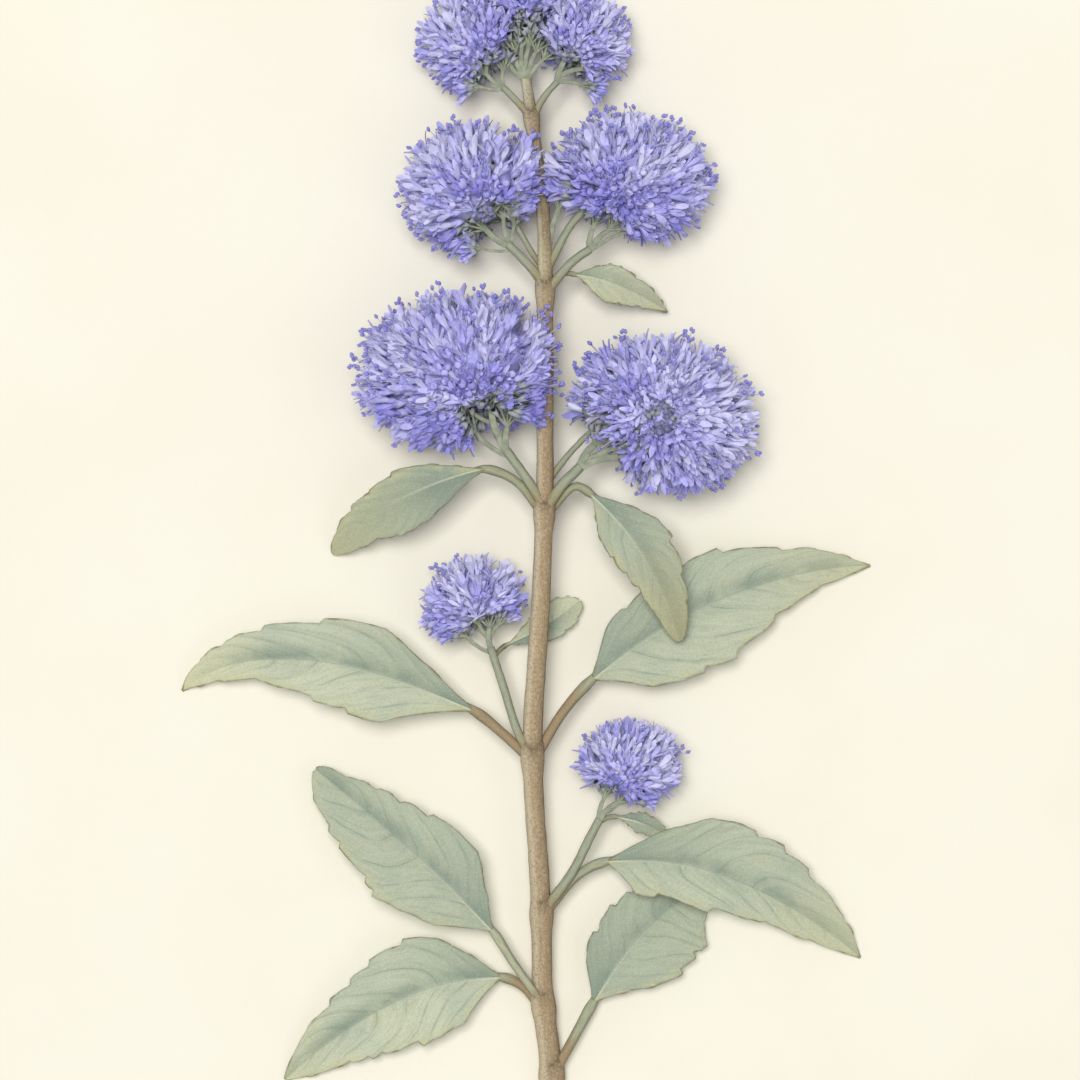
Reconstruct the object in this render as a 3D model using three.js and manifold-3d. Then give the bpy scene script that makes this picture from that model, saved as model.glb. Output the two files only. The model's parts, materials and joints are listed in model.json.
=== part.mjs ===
// A cut flowering stem of bluebeard: one woody stem with paired leaves and dense, rounded
// flower heads on short stalks, laid down on a level surface.
// Millimetres. +Y runs up the stem from its cut foot, +X is to the right of it, and +Z is up
// from the surface that it lies on.
import * as THREE from 'three';
import { mergeVertices } from 'three/addons/utils/BufferGeometryUtils.js';
import Module from 'manifold-3d';

const wasm = await Module();
wasm.setup();
const { Manifold, Mesh: SolidMesh } = wasm;

const UP = new THREE.Vector3(0, 0, 1);
const CLEARANCE = 0.3; // kept between a piece and whatever carries it
const CUT_CLEARANCE = 0.34; // what a limb grows by before it is cut out of its neighbour

// The stem

// Where the stem's centre line passes, from the cut foot up: side, along, height and radius.
// It rests on its foot, and its upper half is carried by the flower heads.
const STEM = [
  { at: [1.8, -3.0, 1.85], radius: 2.25 },
  { at: [1.2, 11.6, 3.2], radius: 2.2 },
  { at: [-0.4, 26.0, 4.9], radius: 2.1 },
  { at: [-0.8, 44.6, 6.9], radius: 2.0 },
  { at: [-2.5, 75.6, 10.3], radius: 1.95 },
  { at: [-0.9, 105.0, 12.9], radius: 1.9 },
  { at: [-0.1, 125.0, 14.2], radius: 1.75 },
  { at: [0.0, 147.0, 14.2], radius: 1.65 },
  { at: [0.0, 168.0, 13.5], radius: 1.6 },
  { at: [-0.3, 182.0, 13.0], radius: 1.35 },
  { at: [-2.7, 202.4, 12.0], radius: 1.25 },
  { at: [-3.8, 210.4, 11.4], radius: 1.05 },
];
const STEM_SIDES = 8;
const STEM_STEPS_PER_SPAN = 5;
const FOOT_CUT_Y = 0;

// Each joint of the stem, where leaves and stalks leave it, is a little swollen.
const JOINTS_ALONG = [9.6, 24.0, 42.5, 73.6, 122.8, 167.0, 201.4];
const JOINT_SWELLING = 0.42;
const JOINT_HALF_LENGTH = 2.4;

// Stalks of the flower heads, each one tapering limb: the points it passes, and its two radii.
const STALKS = [
  {
    name: 'stalk_3_right', radii: [1.0, 0.85],
    path: [[-0.4, 43.2, 7.4], [5.5, 51.3, 8.8], [9.0, 58.2, 9.2], [11.0, 62.0, 9.2]],
  },
  {
    name: 'stalk_4_left', radii: [0.9, 0.8],
    path: [[-2.9, 74.8, 10.9], [-5.4, 79.4, 11.0], [-8.3, 88.4, 10.4], [-10.9, 96.4, 9.6]],
  },
  {
    name: 'stalk_5_left', radii: [1.0, 0.9],
    path: [[-0.2, 124.6, 15.0], [-3.2, 129.6, 15.4], [-5.9, 133.4, 15.3], [-7.8, 136.0, 15.0]],
  },
  {
    name: 'stalk_5_right', radii: [1.1, 1.0],
    path: [[0.0, 124.0, 15.0], [3.6, 129.2, 15.4], [5.6, 131.2, 15.3], [7.0, 132.6, 15.0]],
  },
  {
    name: 'stalk_5_right_upper', radii: [0.7, 0.6],
    path: [[0.0, 128.4, 13.6], [2.0, 131.6, 12.9], [5.0, 135.4, 12.4], [8.4, 139.0, 12.4]],
  },
  {
    name: 'stalk_6_left', radii: [0.95, 0.85],
    path: [[0.0, 168.6, 13.9], [-2.4, 172.0, 14.1], [-5.2, 175.0, 13.8], [-7.4, 177.2, 13.4]],
  },
  {
    name: 'stalk_6_left_upper', radii: [0.65, 0.55],
    path: [[-0.1, 172.2, 13.0], [-2.2, 174.9, 12.2], [-4.6, 179.0, 11.7], [-7.0, 183.0, 11.6]],
  },
  {
    name: 'stalk_6_right', radii: [0.95, 0.85],
    path: [[0.0, 166.8, 13.9], [2.0, 169.7, 14.1], [5.4, 173.6, 13.8], [9.0, 176.2, 13.3]],
  },
  {
    name: 'stalk_6_right_upper', radii: [0.85, 0.75],
    path: [[0.0, 171.2, 13.2], [2.2, 175.6, 13.2], [4.9, 180.6, 13.0], [8.4, 184.8, 12.8]],
  },
  {
    name: 'stalk_7_left', radii: [0.75, 0.65],
    path: [[-2.7, 202.0, 12.4], [-4.5, 204.6, 12.3], [-6.7, 207.0, 12.0], [-8.4, 208.7, 11.6]],
  },
  {
    name: 'stalk_7_right', radii: [0.75, 0.65],
    path: [[-2.6, 201.4, 12.2], [-1.5, 204.4, 12.2], [0.3, 207.4, 11.9], [2.4, 209.8, 11.4]],
  },
];
const STALK_SIDES = 6;
const STALK_STEPS = 7;

// Leaves

// A leaf has a round petiole that leaves its carrier at root, and a blade from base to tip. The
// midrib bows to the left of the line from base to tip by bow, moved along it by shift, and rises
// to crest. Each side lists where along the midrib its margin comes to a point, and how far from
// the midrib that is: first the blade's shoulder, then its teeth. The smaller blunt, the rounder
// its tip. Fold lifts both sides, roll tips them one way.
const LEAVES = [
  {
    name: 'leaf_1_right', root: [1.2, 9.2, 3.5], elbow: [5.8, 17.6, 4.4],
    base: [9.8, 24.8, 4.3], tip: [32.0, 47.4, 1.3], crest: 3.6,
    bow: 5.3, shift: 5.5, blunt: 0.6, fold: 0.16, roll: 0.04, petiole: 1.0,
    left: [[0.14, 5.6], [0.28, 8.1], [0.44, 8.7], [0.55, 8.1], [0.68, 7.4], [0.84, 4.6]],
    right: [[0.24, 8.6], [0.42, 11.4], [0.59, 11.0], [0.77, 10.6], [0.86, 7.2]],
  },
  {
    name: 'leaf_2_left_low', root: [-0.4, 23.0, 4.4], elbow: [-4.4, 28.0, 4.8],
    base: [-8.8, 29.9, 4.9], tip: [-52.6, 8.8, 0.7], crest: 5.6,
    bow: -9.6, shift: -4.1, blunt: 0.9, fold: 0.24, roll: 0, petiole: 0.95,
    left: [[0.2, 8.2], [0.44, 10.3], [0.62, 8.4], [0.68, 7.9], [0.75, 6.4]],
    right: [[0.24, 9.4], [0.36, 11.3], [0.5, 10.0], [0.59, 8.2], [0.69, 6.9]],
  },
  {
    name: 'leaf_2_left_high', root: [-0.3, 24.4, 6.0], elbow: [-6.5, 33.2, 7.4],
    base: [-10.5, 39.4, 8.2], tip: [-46.4, 71.8, 3.4], crest: 10.6,
    bow: -2.1, shift: 0.6, blunt: 0.6, fold: 0.22, roll: 0.04, petiole: 0.85,
    left: [[0.18, 7.2], [0.46, 11.9], [0.52, 10.9], [0.7, 9.2], [0.78, 7.8]],
    right: [[0.27, 9.2], [0.5, 8.5], [0.62, 6.6], [0.73, 5.4], [0.86, 3.2]],
  },
  {
    name: 'leaf_3_right', root: [-0.6, 42.0, 6.6], elbow: [6.6, 50.6, 7.2],
    base: [12.4, 53.4, 8.2], tip: [63.9, 33.5, 0.7], crest: 10.2,
    bow: 11.6, shift: -4.7, blunt: 0.8, fold: 0.24, roll: 0.05, petiole: 0.95,
    left: [[0.36, 10.5], [0.5, 10.9], [0.6, 10.3], [0.7, 8.6], [0.87, 4.5]],
    right: [[0.12, 6.6], [0.2, 7.1], [0.44, 7.8], [0.65, 5.7], [0.82, 4.0]],
  },
  {
    name: 'leaf_4_left', root: [-2.4, 73.4, 9.6], elbow: [-8.2, 78.9, 9.4],
    base: [-14.4, 83.8, 9.8], tip: [-73.4, 87.4, 0.7], crest: 11.2,
    bow: -16.2, shift: 13.2, blunt: 0.7, fold: 0.26, roll: -0.04, petiole: 1.0,
    left: [[0.2, 8.8], [0.3, 9.2], [0.42, 8.1], [0.64, 4.3], [0.82, 2.4]],
    right: [[0.26, 9.4], [0.42, 8.6], [0.6, 6.6], [0.74, 4.9], [0.85, 3.4]],
  },
  {
    name: 'leaf_4_right', root: [-2.4, 73.4, 9.8], elbow: [3.6, 83.4, 9.2],
    base: [9.5, 90.0, 8.6], tip: [65.9, 112.9, 0.9], crest: 7.0,
    bow: 10.4, shift: 2.2, blunt: 0.9, fold: 0.16, roll: 0, petiole: 1.0,
    left: [[0.12, 6.4], [0.19, 7.8], [0.33, 9.8], [0.52, 9.9], [0.7, 6.3]],
    right: [[0.14, 8.9], [0.31, 11.9], [0.44, 12.1], [0.62, 8.1], [0.8, 3.6]],
  },
  {
    name: 'leaf_5_left', root: [-0.2, 122.6, 13.4], elbow: [-5.6, 129.6, 13.6],
    base: [-12.0, 132.2, 13.6], tip: [-42.9, 115.0, 0.9], crest: 13.0,
    bow: -5.9, shift: 3.7, blunt: 0.5, fold: 0.3, roll: 0.06, petiole: 0.9,
    left: [[0.3, 5.7], [0.53, 6.5], [0.66, 4.7], [0.79, 3.6], [0.9, 2.3]],
    right: [[0.24, 4.1], [0.42, 5.6], [0.56, 4.8], [0.7, 4.1], [0.85, 2.8]],
  },
  {
    name: 'leaf_5_right', root: [0.0, 122.6, 13.2], elbow: [6.0, 128.7, 13.6],
    base: [9.2, 127.2, 14.2], tip: [27.0, 97.6, 11.6], crest: 17.0,
    bow: 5.4, shift: -0.4, blunt: 0.6, fold: 0.24, roll: 0.1, petiole: 0.85,
    left: [[0.3, 5.6], [0.46, 6.8], [0.64, 5.4], [0.78, 4.0], [0.9, 2.5]],
    right: [[0.18, 4.4], [0.36, 5.7], [0.49, 5.4], [0.6, 4.5], [0.77, 3.5]],
  },
  {
    name: 'leaf_6_right', root: [3.2, 171.2, 14.0], elbow: [4.6, 171.4, 12.9],
    base: [6.0, 171.2, 12.2], tip: [24.8, 164.0, 2.6], crest: 11.0,
    bow: 2.5, shift: -2.0, blunt: 0.7, fold: 0.2, roll: 0, petiole: 0.5,
    left: [[0.34, 3.4], [0.6, 3.0], [0.8, 2.2]],
    right: [[0.3, 3.6], [0.52, 3.8], [0.72, 2.4]],
  },
  {
    name: 'bract_3_right', root: [10.4, 61.0, 9.5], elbow: [12.6, 62.2, 7.6],
    base: [14.4, 62.3, 6.6], tip: [25.4, 57.8, 4.4], crest: 6.2,
    bow: 1.6, shift: 0.0, blunt: 0.8, fold: 0.14, roll: 0, petiole: 0.5,
    left: [[0.3, 1.6], [0.52, 1.9], [0.74, 1.4]],
    right: [[0.3, 1.6], [0.52, 1.9], [0.74, 1.4]],
  },
  {
    name: 'bract_4_left', root: [-10.2, 94.6, 10.2], elbow: [-9.2, 95.8, 7.4],
    base: [-7.8, 96.8, 5.0], tip: [6.9, 105.8, 3.0], crest: 3.2,
    bow: -1.6, shift: 1.5, blunt: 0.55, fold: 0.1, roll: 0, petiole: 0.5,
    left: [[0.36, 3.0], [0.62, 3.9], [0.82, 3.1]],
    right: [[0.36, 2.6], [0.62, 3.3], [0.82, 2.7]],
  },
];
const TOOTH_DEPTH = 1.3; // how far the margin cuts back behind a tooth, at most
const TOOTH_SHARE = 0.14; // and as a share of the half width there
const TOOTH_SWELL = 0.35; // how far it swells on its way to the next
const NOTCH_LENGTH = 0.014; // share of the midrib that the cut takes
const BASE_POWER = 0.8; // below 1, so the blade leaves its petiole in a full wedge
const SMALLEST_STEP = 0.009; // rows of the blade are at least this share apart
const SMALL_BLADE = 30; // a blade shorter than this is thinner
const BLADE_THICKNESS = 0.62;
const SMALL_THICKNESS = 0.45;
const MIDRIB_SHARE = 0.34; // the petiole runs on under this much of the blade
const PETIOLE_SIDES = 5;

// Flower heads

// Each head is an ellipsoid with its centre, half sizes across, along and deep, and its turn in
// degrees seen from above. Its stalk forks at fork, and its florets stand out all round.
const HEADS = [
  {
    name: 'head_3_right', carrier: 'stalk_3_right', fork: [11.0, 62.0, 9.2],
    centre: [17.2, 73.2, 8.4], half: [11.4, 9.4, 9.6], turn: 0, florets: 30,
  },
  {
    name: 'head_4_left', carrier: 'stalk_4_left', fork: [-10.9, 96.4, 9.6],
    centre: [-14.6, 105.6, 8.6], half: [11.4, 9.8, 9.8], turn: 12, florets: 30,
  },
  {
    name: 'head_5_left', carrier: 'stalk_5_left', fork: [-7.8, 136.0, 15.0],
    centre: [-17.6, 151.6, 14.6], half: [21.2, 17.4, 15.6], turn: 4, florets: 60,
  },
  {
    name: 'head_5_right', carrier: 'stalk_5_right', fork: [7.0, 132.6, 15.0],
    centre: [23.6, 143.4, 14.6], half: [20.2, 16.6, 15.6], turn: -14, florets: 58,
  },
  {
    name: 'head_6_left', carrier: 'stalk_6_left', fork: [-7.4, 177.2, 13.4],
    centre: [-14.6, 188.6, 12.4], half: [15.0, 14.4, 13.6], turn: 0, florets: 46,
  },
  {
    name: 'head_6_right', carrier: 'stalk_6_right', fork: [9.0, 176.2, 13.3],
    centre: [17.0, 190.4, 12.4], half: [17.0, 13.9, 13.6], turn: -6, florets: 46,
  },
  {
    name: 'head_7_left', carrier: 'stalk_7_left', fork: [-8.4, 208.7, 11.6],
    centre: [-14.6, 218.0, 10.2], half: [11.4, 11.4, 11.4], turn: 0, florets: 28,
  },
  {
    name: 'head_7_right', carrier: 'stalk_7_right', fork: [2.4, 209.8, 11.4],
    centre: [7.0, 218.2, 10.2], half: [11.0, 11.2, 11.4], turn: 0, florets: 28,
  },
  {
    name: 'head_7_top', carrier: 'stem', fork: [-3.8, 210.4, 11.4],
    centre: [-3.6, 229.6, 10.0], half: [10.2, 9.8, 11.0], turn: 0, florets: 26,
  },
];
const CORE_SHARE = 0.74; // the dense middle, as a share of a head's half sizes
const FLORET_ROOT = 0.4; // florets start this far out, inside the core
const FLORET_BELLY = 0.82; // and are widest here
const FLORET_SHORTEST = 0.95; // tips end between this and the longest, as shares of the half size
const FLORET_LONGEST = 1.07;
const FLORET_WIDTH = 2.5;
const FLORET_SIDES = 3;
const BARE_CONE = 0.85; // cosine: no floret within this cone round the fork
const FAN_TWIGS = 5;
const FAN_STEM = 1.6; // from the fork to where the fan spreads
const SEED = 7;

// Colours, from the plant itself
const COLOURS = {
  bark: { color: 0x9c8069, roughness: 0.85 },
  stalk: { color: 0x8d947c, roughness: 0.8 },
  leaf: { color: 0x8f9d8c, roughness: 0.75 },
  bloom: { color: 0x7f7bcb, roughness: 0.9 },
};

const vector = (point) => new THREE.Vector3(...point);

const materials = {};
for (const [name, look] of Object.entries(COLOURS)) {
  materials[name] = new THREE.MeshStandardMaterial({ ...look, metalness: 0 });
}

// A repeatable stream of numbers from 0 to 1, so that each floret is always the same.
function randomStream(seed) {
  let state = seed >>> 0;
  return () => {
    state = (Math.imul(state, 1664525) + 1013904223) >>> 0;
    return state / 4294967296;
  };
}

// Solids and geometries

function solidOf(geometry) {
  const bare = geometry.clone();
  bare.deleteAttribute('normal');
  bare.deleteAttribute('uv');
  const merged = mergeVertices(bare, 1e-4);
  return new Manifold(new SolidMesh({
    numProp: 3,
    vertProperties: merged.attributes.position.array,
    triVerts: new Uint32Array(merged.index.array),
  }));
}

function geometryOf(solid) {
  const mesh = solid.getMesh();
  const geometry = new THREE.BufferGeometry();
  geometry.setAttribute('position', new THREE.BufferAttribute(mesh.vertProperties, 3));
  geometry.setIndex(new THREE.BufferAttribute(mesh.triVerts, 1));
  geometry.computeVertexNormals();
  return geometry;
}

// A cut can leave a loose scrap beside the piece, which is dropped.
function largestPiece(solid) {
  const pieces = solid.decompose();
  return pieces.reduce((a, b) => (a.volume() > b.volume() ? a : b));
}

// A closed skin over rows of points, all with the same number of points: rings round a limb.
function ringsGeometry(rings) {
  const sides = rings[0].length;
  const points = rings.flat();
  const triangles = [];
  for (let i = 0; i < rings.length - 1; i++) {
    for (let j = 0; j < sides; j++) {
      const a = i * sides + j;
      const b = i * sides + ((j + 1) % sides);
      triangles.push(a, b, b + sides, a, b + sides, a + sides);
    }
  }
  const last = (rings.length - 1) * sides;
  for (let j = 1; j < sides - 1; j++) {
    triangles.push(0, j + 1, j);
    triangles.push(last, last + j, last + j + 1);
  }
  const geometry = new THREE.BufferGeometry().setFromPoints(points);
  geometry.setIndex(triangles);
  return geometry;
}

// Rings round a curve. radiusAt gives the radius at the share u of the curve.
function limbGeometry(curve, radiusAt, sides, steps) {
  const rings = [];
  for (let i = 0; i <= steps; i++) {
    const u = i / steps;
    const centre = curve.getPoint(u);
    const tangent = curve.getTangent(u);
    const side = new THREE.Vector3().crossVectors(UP, tangent).normalize();
    const over = new THREE.Vector3().crossVectors(tangent, side);
    const ring = [];
    for (let j = 0; j < sides; j++) {
      const angle = (2 * Math.PI * j) / sides + Math.PI / sides;
      ring.push(
        centre.clone()
          .addScaledVector(side, Math.cos(angle) * radiusAt(u))
          .addScaledVector(over, Math.sin(angle) * radiusAt(u)),
      );
    }
    rings.push(ring);
  }
  return ringsGeometry(rings);
}

const taper = (from, to) => (u) => from + (to - from) * u;

// A limb as its solid, the same limb grown by the clearance, and points along it for distances.
function limb(points, radiusAt, sides, steps) {
  const curve = new THREE.CatmullRomCurve3(points, false, 'centripetal');
  const samples = [];
  for (let i = 0; i <= 2 * steps; i++) {
    const u = i / (2 * steps);
    samples.push({ point: curve.getPoint(u), radius: radiusAt(u) });
  }
  return {
    solid: solidOf(limbGeometry(curve, radiusAt, sides, steps)),
    grown: solidOf(limbGeometry(curve, (u) => radiusAt(u) + CUT_CLEARANCE, sides, steps)),
    samples,
    curve,
  };
}

// The stem

function stemRadiusAt(u) {
  const spans = STEM.length - 1;
  const i = Math.min(Math.floor(u * spans), spans - 1);
  const share = u * spans - i;
  const plain = THREE.MathUtils.lerp(STEM[i].radius, STEM[i + 1].radius, share);
  const along = THREE.MathUtils.lerp(STEM[i].at[1], STEM[i + 1].at[1], share);
  let swelling = 0;
  for (const joint of JOINTS_ALONG) {
    swelling += JOINT_SWELLING * Math.exp(-(((along - joint) / JOINT_HALF_LENGTH) ** 2));
  }
  return plain * (1 + swelling / 2);
}

function makeStem() {
  const steps = (STEM.length - 1) * STEM_STEPS_PER_SPAN;
  const made = limb(STEM.map((station) => vector(station.at)), stemRadiusAt, STEM_SIDES, steps);
  made.solid = made.solid.trimByPlane([0, 1, 0], FOOT_CUT_Y);
  return made;
}

// Leaves

// Half width of one side of a blade at the share t of its midrib.
function halfWidth(t, teeth, blunt) {
  const ahead = teeth.findIndex(([share]) => t <= share);
  if (ahead === 0) return teeth[0][1] * (t / teeth[0][0]) ** BASE_POWER;
  const [from, width] = teeth.at(ahead - (ahead > 0 ? 1 : 0));
  const cut = ahead === 1 ? 0 : Math.min(TOOTH_DEPTH, TOOTH_SHARE * width);
  const kept = width - cut * Math.min((t - from) / NOTCH_LENGTH, 1);
  if (ahead < 0) return kept * Math.cos((Math.PI / 2) * ((t - from) / (1 - from))) ** blunt;
  const [to, next] = teeth[ahead];
  const share = (t - from) / (to - from);
  return THREE.MathUtils.lerp(kept, next, share) + TOOTH_SWELL * Math.sin(Math.PI * share);
}

// Shares of the midrib where the blade has a row of points: at each tooth and just behind it.
function bladeRows(leaf) {
  const shares = [0.004, 0.06, 0.95, 0.998];
  for (const [share] of [...leaf.left, ...leaf.right]) shares.push(share, share + NOTCH_LENGTH);
  shares.sort((a, b) => a - b);
  const rows = [];
  for (const share of shares) {
    if (rows.length === 0 || share - rows.at(-1) > SMALLEST_STEP) rows.push(share);
  }
  return rows;
}

// The midrib as a curve in space, from the blade's base to its tip.
function midribOf(leaf) {
  const base = vector(leaf.base);
  const tip = vector(leaf.tip);
  const along = new THREE.Vector3().subVectors(tip, base).setZ(0).normalize();
  const left = new THREE.Vector3().crossVectors(UP, along);
  const control = new THREE.Vector3().addVectors(base, tip).multiplyScalar(0.5);
  control.addScaledVector(left, leaf.bow).addScaledVector(along, leaf.shift);
  control.z = leaf.crest;
  return new THREE.QuadraticBezierCurve3(base, control, tip);
}

// A point of the blade's middle layer: u runs from the right margin at -1 to the left one at 1.
function bladePoint(leaf, midrib, t, u) {
  const tangent = midrib.getTangent(t);
  const left = new THREE.Vector3().crossVectors(UP, tangent).normalize();
  const over = new THREE.Vector3().crossVectors(tangent, left);
  const reach = Math.max(halfWidth(t, u > 0 ? leaf.left : leaf.right, leaf.blunt), 0.3);
  const lift = reach * (Math.abs(u) * leaf.fold + u * leaf.roll);
  return {
    point: midrib.getPoint(t).addScaledVector(left, u * reach).addScaledVector(over, lift),
    over,
  };
}

function bladeGeometry(leaf, midrib, thickness) {
  const across = [-1, 0, 1];
  const rings = bladeRows(leaf).map((t) => {
    const upper = [];
    const lower = [];
    for (const u of across) {
      const { point, over } = bladePoint(leaf, midrib, t, u);
      upper.push(point.clone().addScaledVector(over, thickness / 2));
      lower.push(point.clone().addScaledVector(over, -thickness / 2));
    }
    return [...upper.reverse(), ...lower];
  });
  return ringsGeometry(rings);
}

function makeLeaf(leaf) {
  const midrib = midribOf(leaf);
  const small = midrib.getLength() < SMALL_BLADE;
  const thickness = small ? SMALL_THICKNESS : BLADE_THICKNESS;
  const blade = solidOf(bladeGeometry(leaf, midrib, thickness));
  const path = [vector(leaf.root), vector(leaf.elbow), vector(leaf.base)];
  for (const share of [MIDRIB_SHARE / 2, MIDRIB_SHARE]) {
    path.push(midrib.getPoint(share).addScaledVector(UP, -0.2));
  }
  const petiole = limb(path, taper(leaf.petiole, thickness * 0.85), PETIOLE_SIDES, 9);
  return { solid: blade.add(petiole.solid), grown: petiole.grown, samples: petiole.samples };
}

// Flower heads

// A point of a head's own ellipsoid, from a direction and a share of its half sizes.
function headPoint(head, direction, share) {
  return direction.clone()
    .multiply(vector(head.half))
    .multiplyScalar(share)
    .applyAxisAngle(UP, THREE.MathUtils.degToRad(head.turn))
    .add(vector(head.centre));
}

// Directions spread evenly over the ball, in a spiral.
function spiralDirections(count) {
  const golden = Math.PI * (3 - Math.sqrt(5));
  return Array.from({ length: count }, (_, i) => {
    const z = 1 - (2 * (i + 0.5)) / count;
    const radius = Math.sqrt(1 - z * z);
    return new THREE.Vector3(radius * Math.cos(i * golden), radius * Math.sin(i * golden), z);
  });
}

// A floret in bud or bloom, as a spindle from its root to its tip, turned round its own axis.
function floretGeometry(root, belly, tip, width, turn) {
  const axis = new THREE.Vector3().subVectors(tip, root).normalize();
  const aside = Math.abs(axis.z) > 0.9 ? new THREE.Vector3(1, 0, 0) : UP;
  const first = new THREE.Vector3().crossVectors(axis, aside).normalize();
  const ring = [];
  for (let j = 0; j < FLORET_SIDES; j++) {
    const way = first.clone().applyAxisAngle(axis, turn + (2 * Math.PI * j) / FLORET_SIDES);
    ring.push(belly.clone().addScaledVector(way, width));
  }
  const geometry = new THREE.BufferGeometry().setFromPoints([root, ...ring, tip]);
  const triangles = [];
  for (let j = 1; j <= FLORET_SIDES; j++) {
    const next = (j % FLORET_SIDES) + 1;
    triangles.push(0, next, j, FLORET_SIDES + 1, j, next);
  }
  geometry.setIndex(triangles);
  return geometry;
}

// How far a point is from the nearest limb's surface.
function distanceToLimbs(point, limbs) {
  let nearest = Infinity;
  for (const { samples } of limbs) {
    for (const { point: at, radius } of samples) {
      nearest = Math.min(nearest, at.distanceTo(point) - radius);
    }
  }
  return nearest;
}

// The flat side between two heads that crowd each other, as seen from the first.
function partingPlane(head, other) {
  const offset = new THREE.Vector3().subVectors(vector(other.centre), vector(head.centre));
  const distance = offset.length();
  const way = offset.clone().normalize();
  const size = (h) => Math.hypot(...h.half.map((s, i) => s * way.getComponent(i)));
  const overlap = size(head) + size(other) - distance;
  if (overlap < -CLEARANCE) return null;
  const along = (distance * size(head)) / (size(head) + size(other)) - CLEARANCE;
  return { way, along, from: vector(head.centre) };
}

// The fan of twigs that carries a head, from the fork of its stalk into its core.
function makeFan(head) {
  const centre = vector(head.centre);
  const fork = vector(head.fork);
  const way = new THREE.Vector3().subVectors(centre, fork).normalize();
  const start = fork.clone().addScaledVector(way, CLEARANCE);
  const spread = fork.clone().addScaledVector(way, FAN_STEM);
  const side = new THREE.Vector3().crossVectors(way, UP).normalize();
  const over = new THREE.Vector3().crossVectors(side, way);
  const smallest = Math.min(...head.half);
  const twigs = [limb([start, spread.clone().addScaledVector(way, 0.3)], taper(0.75, 0.7), 5, 1)];
  for (let k = 0; k < FAN_TWIGS; k++) {
    const angle = (2 * Math.PI * k) / FAN_TWIGS;
    const end = fork.clone().lerp(centre, 0.72)
      .addScaledVector(side, Math.cos(angle) * smallest * head.spread)
      .addScaledVector(over, Math.sin(angle) * smallest * head.spread);
    const middle = spread.clone().lerp(end, 0.5)
      .addScaledVector(side, Math.cos(angle) * smallest * head.spread * 0.22)
      .addScaledVector(over, Math.sin(angle) * smallest * head.spread * 0.22);
    twigs.push(limb([spread, middle, end], taper(0.5, 0.42), 4, 3));
  }
  return twigs;
}

// The dense middle of a head, uneven like the clusters that make it up.
function coreGeometry(head) {
  const core = new THREE.IcosahedronGeometry(1, head.florets > 40 ? 2 : 1);
  core.deleteAttribute('normal');
  core.deleteAttribute('uv');
  const merged = mergeVertices(core, 1e-4);
  const position = merged.attributes.position;
  for (let i = 0; i < position.count; i++) {
    const way = new THREE.Vector3().fromBufferAttribute(position, i).normalize();
    const lump = 0.05 * Math.sin(5 * way.x + head.centre[1]) * Math.sin(5 * way.y + 4 * way.z);
    const point = headPoint(head, way, CORE_SHARE + lump);
    position.setXYZ(i, point.x, point.y, point.z);
  }
  return merged;
}

function makeHead(head, fan, limbs, others) {
  const random = randomStream(SEED + Math.round(head.centre[1]));
  const planes = others.map((other) => partingPlane(head, other)).filter(Boolean);
  const inSpace = (point) => planes.every(
    (plane) => plane.way.dot(point.clone().sub(plane.from)) < plane.along - 0.4,
  );
  const toFork = new THREE.Vector3().subVectors(vector(head.fork), vector(head.centre)).normalize();
  const pieces = [solidOf(coreGeometry(head)), ...fan.map((twig) => twig.solid)];
  for (const even of spiralDirections(head.florets)) {
    const jitter = new THREE.Vector3(random() - 0.5, random() - 0.5, random() - 0.5);
    const way = even.addScaledVector(jitter, 0.3).normalize();
    const length = THREE.MathUtils.lerp(FLORET_SHORTEST, FLORET_LONGEST, random());
    const width = FLORET_WIDTH * (0.85 + 0.3 * random());
    const tip = headPoint(head, way, length);
    const belly = headPoint(head, way, FLORET_BELLY);
    const outward = tip.clone().sub(vector(head.centre)).normalize();
    if (outward.dot(toFork) > BARE_CONE) continue;
    if (!inSpace(tip) || !inSpace(belly)) continue;
    if (distanceToLimbs(tip, limbs) < CLEARANCE + 0.2) continue;
    if (distanceToLimbs(belly, limbs) < CLEARANCE + width) continue;
    if (tip.z < 0 && way.z > -0.5) continue;
    const root = headPoint(head, way, FLORET_ROOT);
    pieces.push(solidOf(floretGeometry(root, belly, tip, width, 2 * Math.PI * random())));
  }
  let solid = Manifold.union(pieces).trimByPlane([0, 0, 1], 0);
  for (const plane of planes) {
    const offset = -(plane.way.dot(plane.from) + plane.along);
    solid = solid.trimByPlane(plane.way.clone().negate().toArray(), offset);
  }
  for (const { grown } of limbs) solid = solid.subtract(grown);
  return largestPiece(solid);
}

// The whole stem, limb by limb

const sprig = new THREE.Group();

function add(name, solid, material) {
  const mesh = new THREE.Mesh(geometryOf(solid), material);
  mesh.name = name;
  sprig.add(mesh);
}

const stem = makeStem();
add('stem', stem.solid, materials.bark);

// Every limb is cut clear of those that were made before it.
const limbs = new Map([['stem', stem]]);
function cutClear(made) {
  let solid = made.solid;
  for (const earlier of limbs.values()) solid = solid.subtract(earlier.grown);
  return largestPiece(solid);
}

for (const stalk of STALKS) {
  const made = limb(stalk.path.map(vector), taper(...stalk.radii), STALK_SIDES, STALK_STEPS);
  add(stalk.name, cutClear(made), materials.stalk);
  limbs.set(stalk.name, made);
}

for (const leaf of LEAVES) {
  const made = makeLeaf(leaf);
  add(leaf.name, cutClear(made), materials.leaf);
  limbs.set(leaf.name, made);
}

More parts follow.
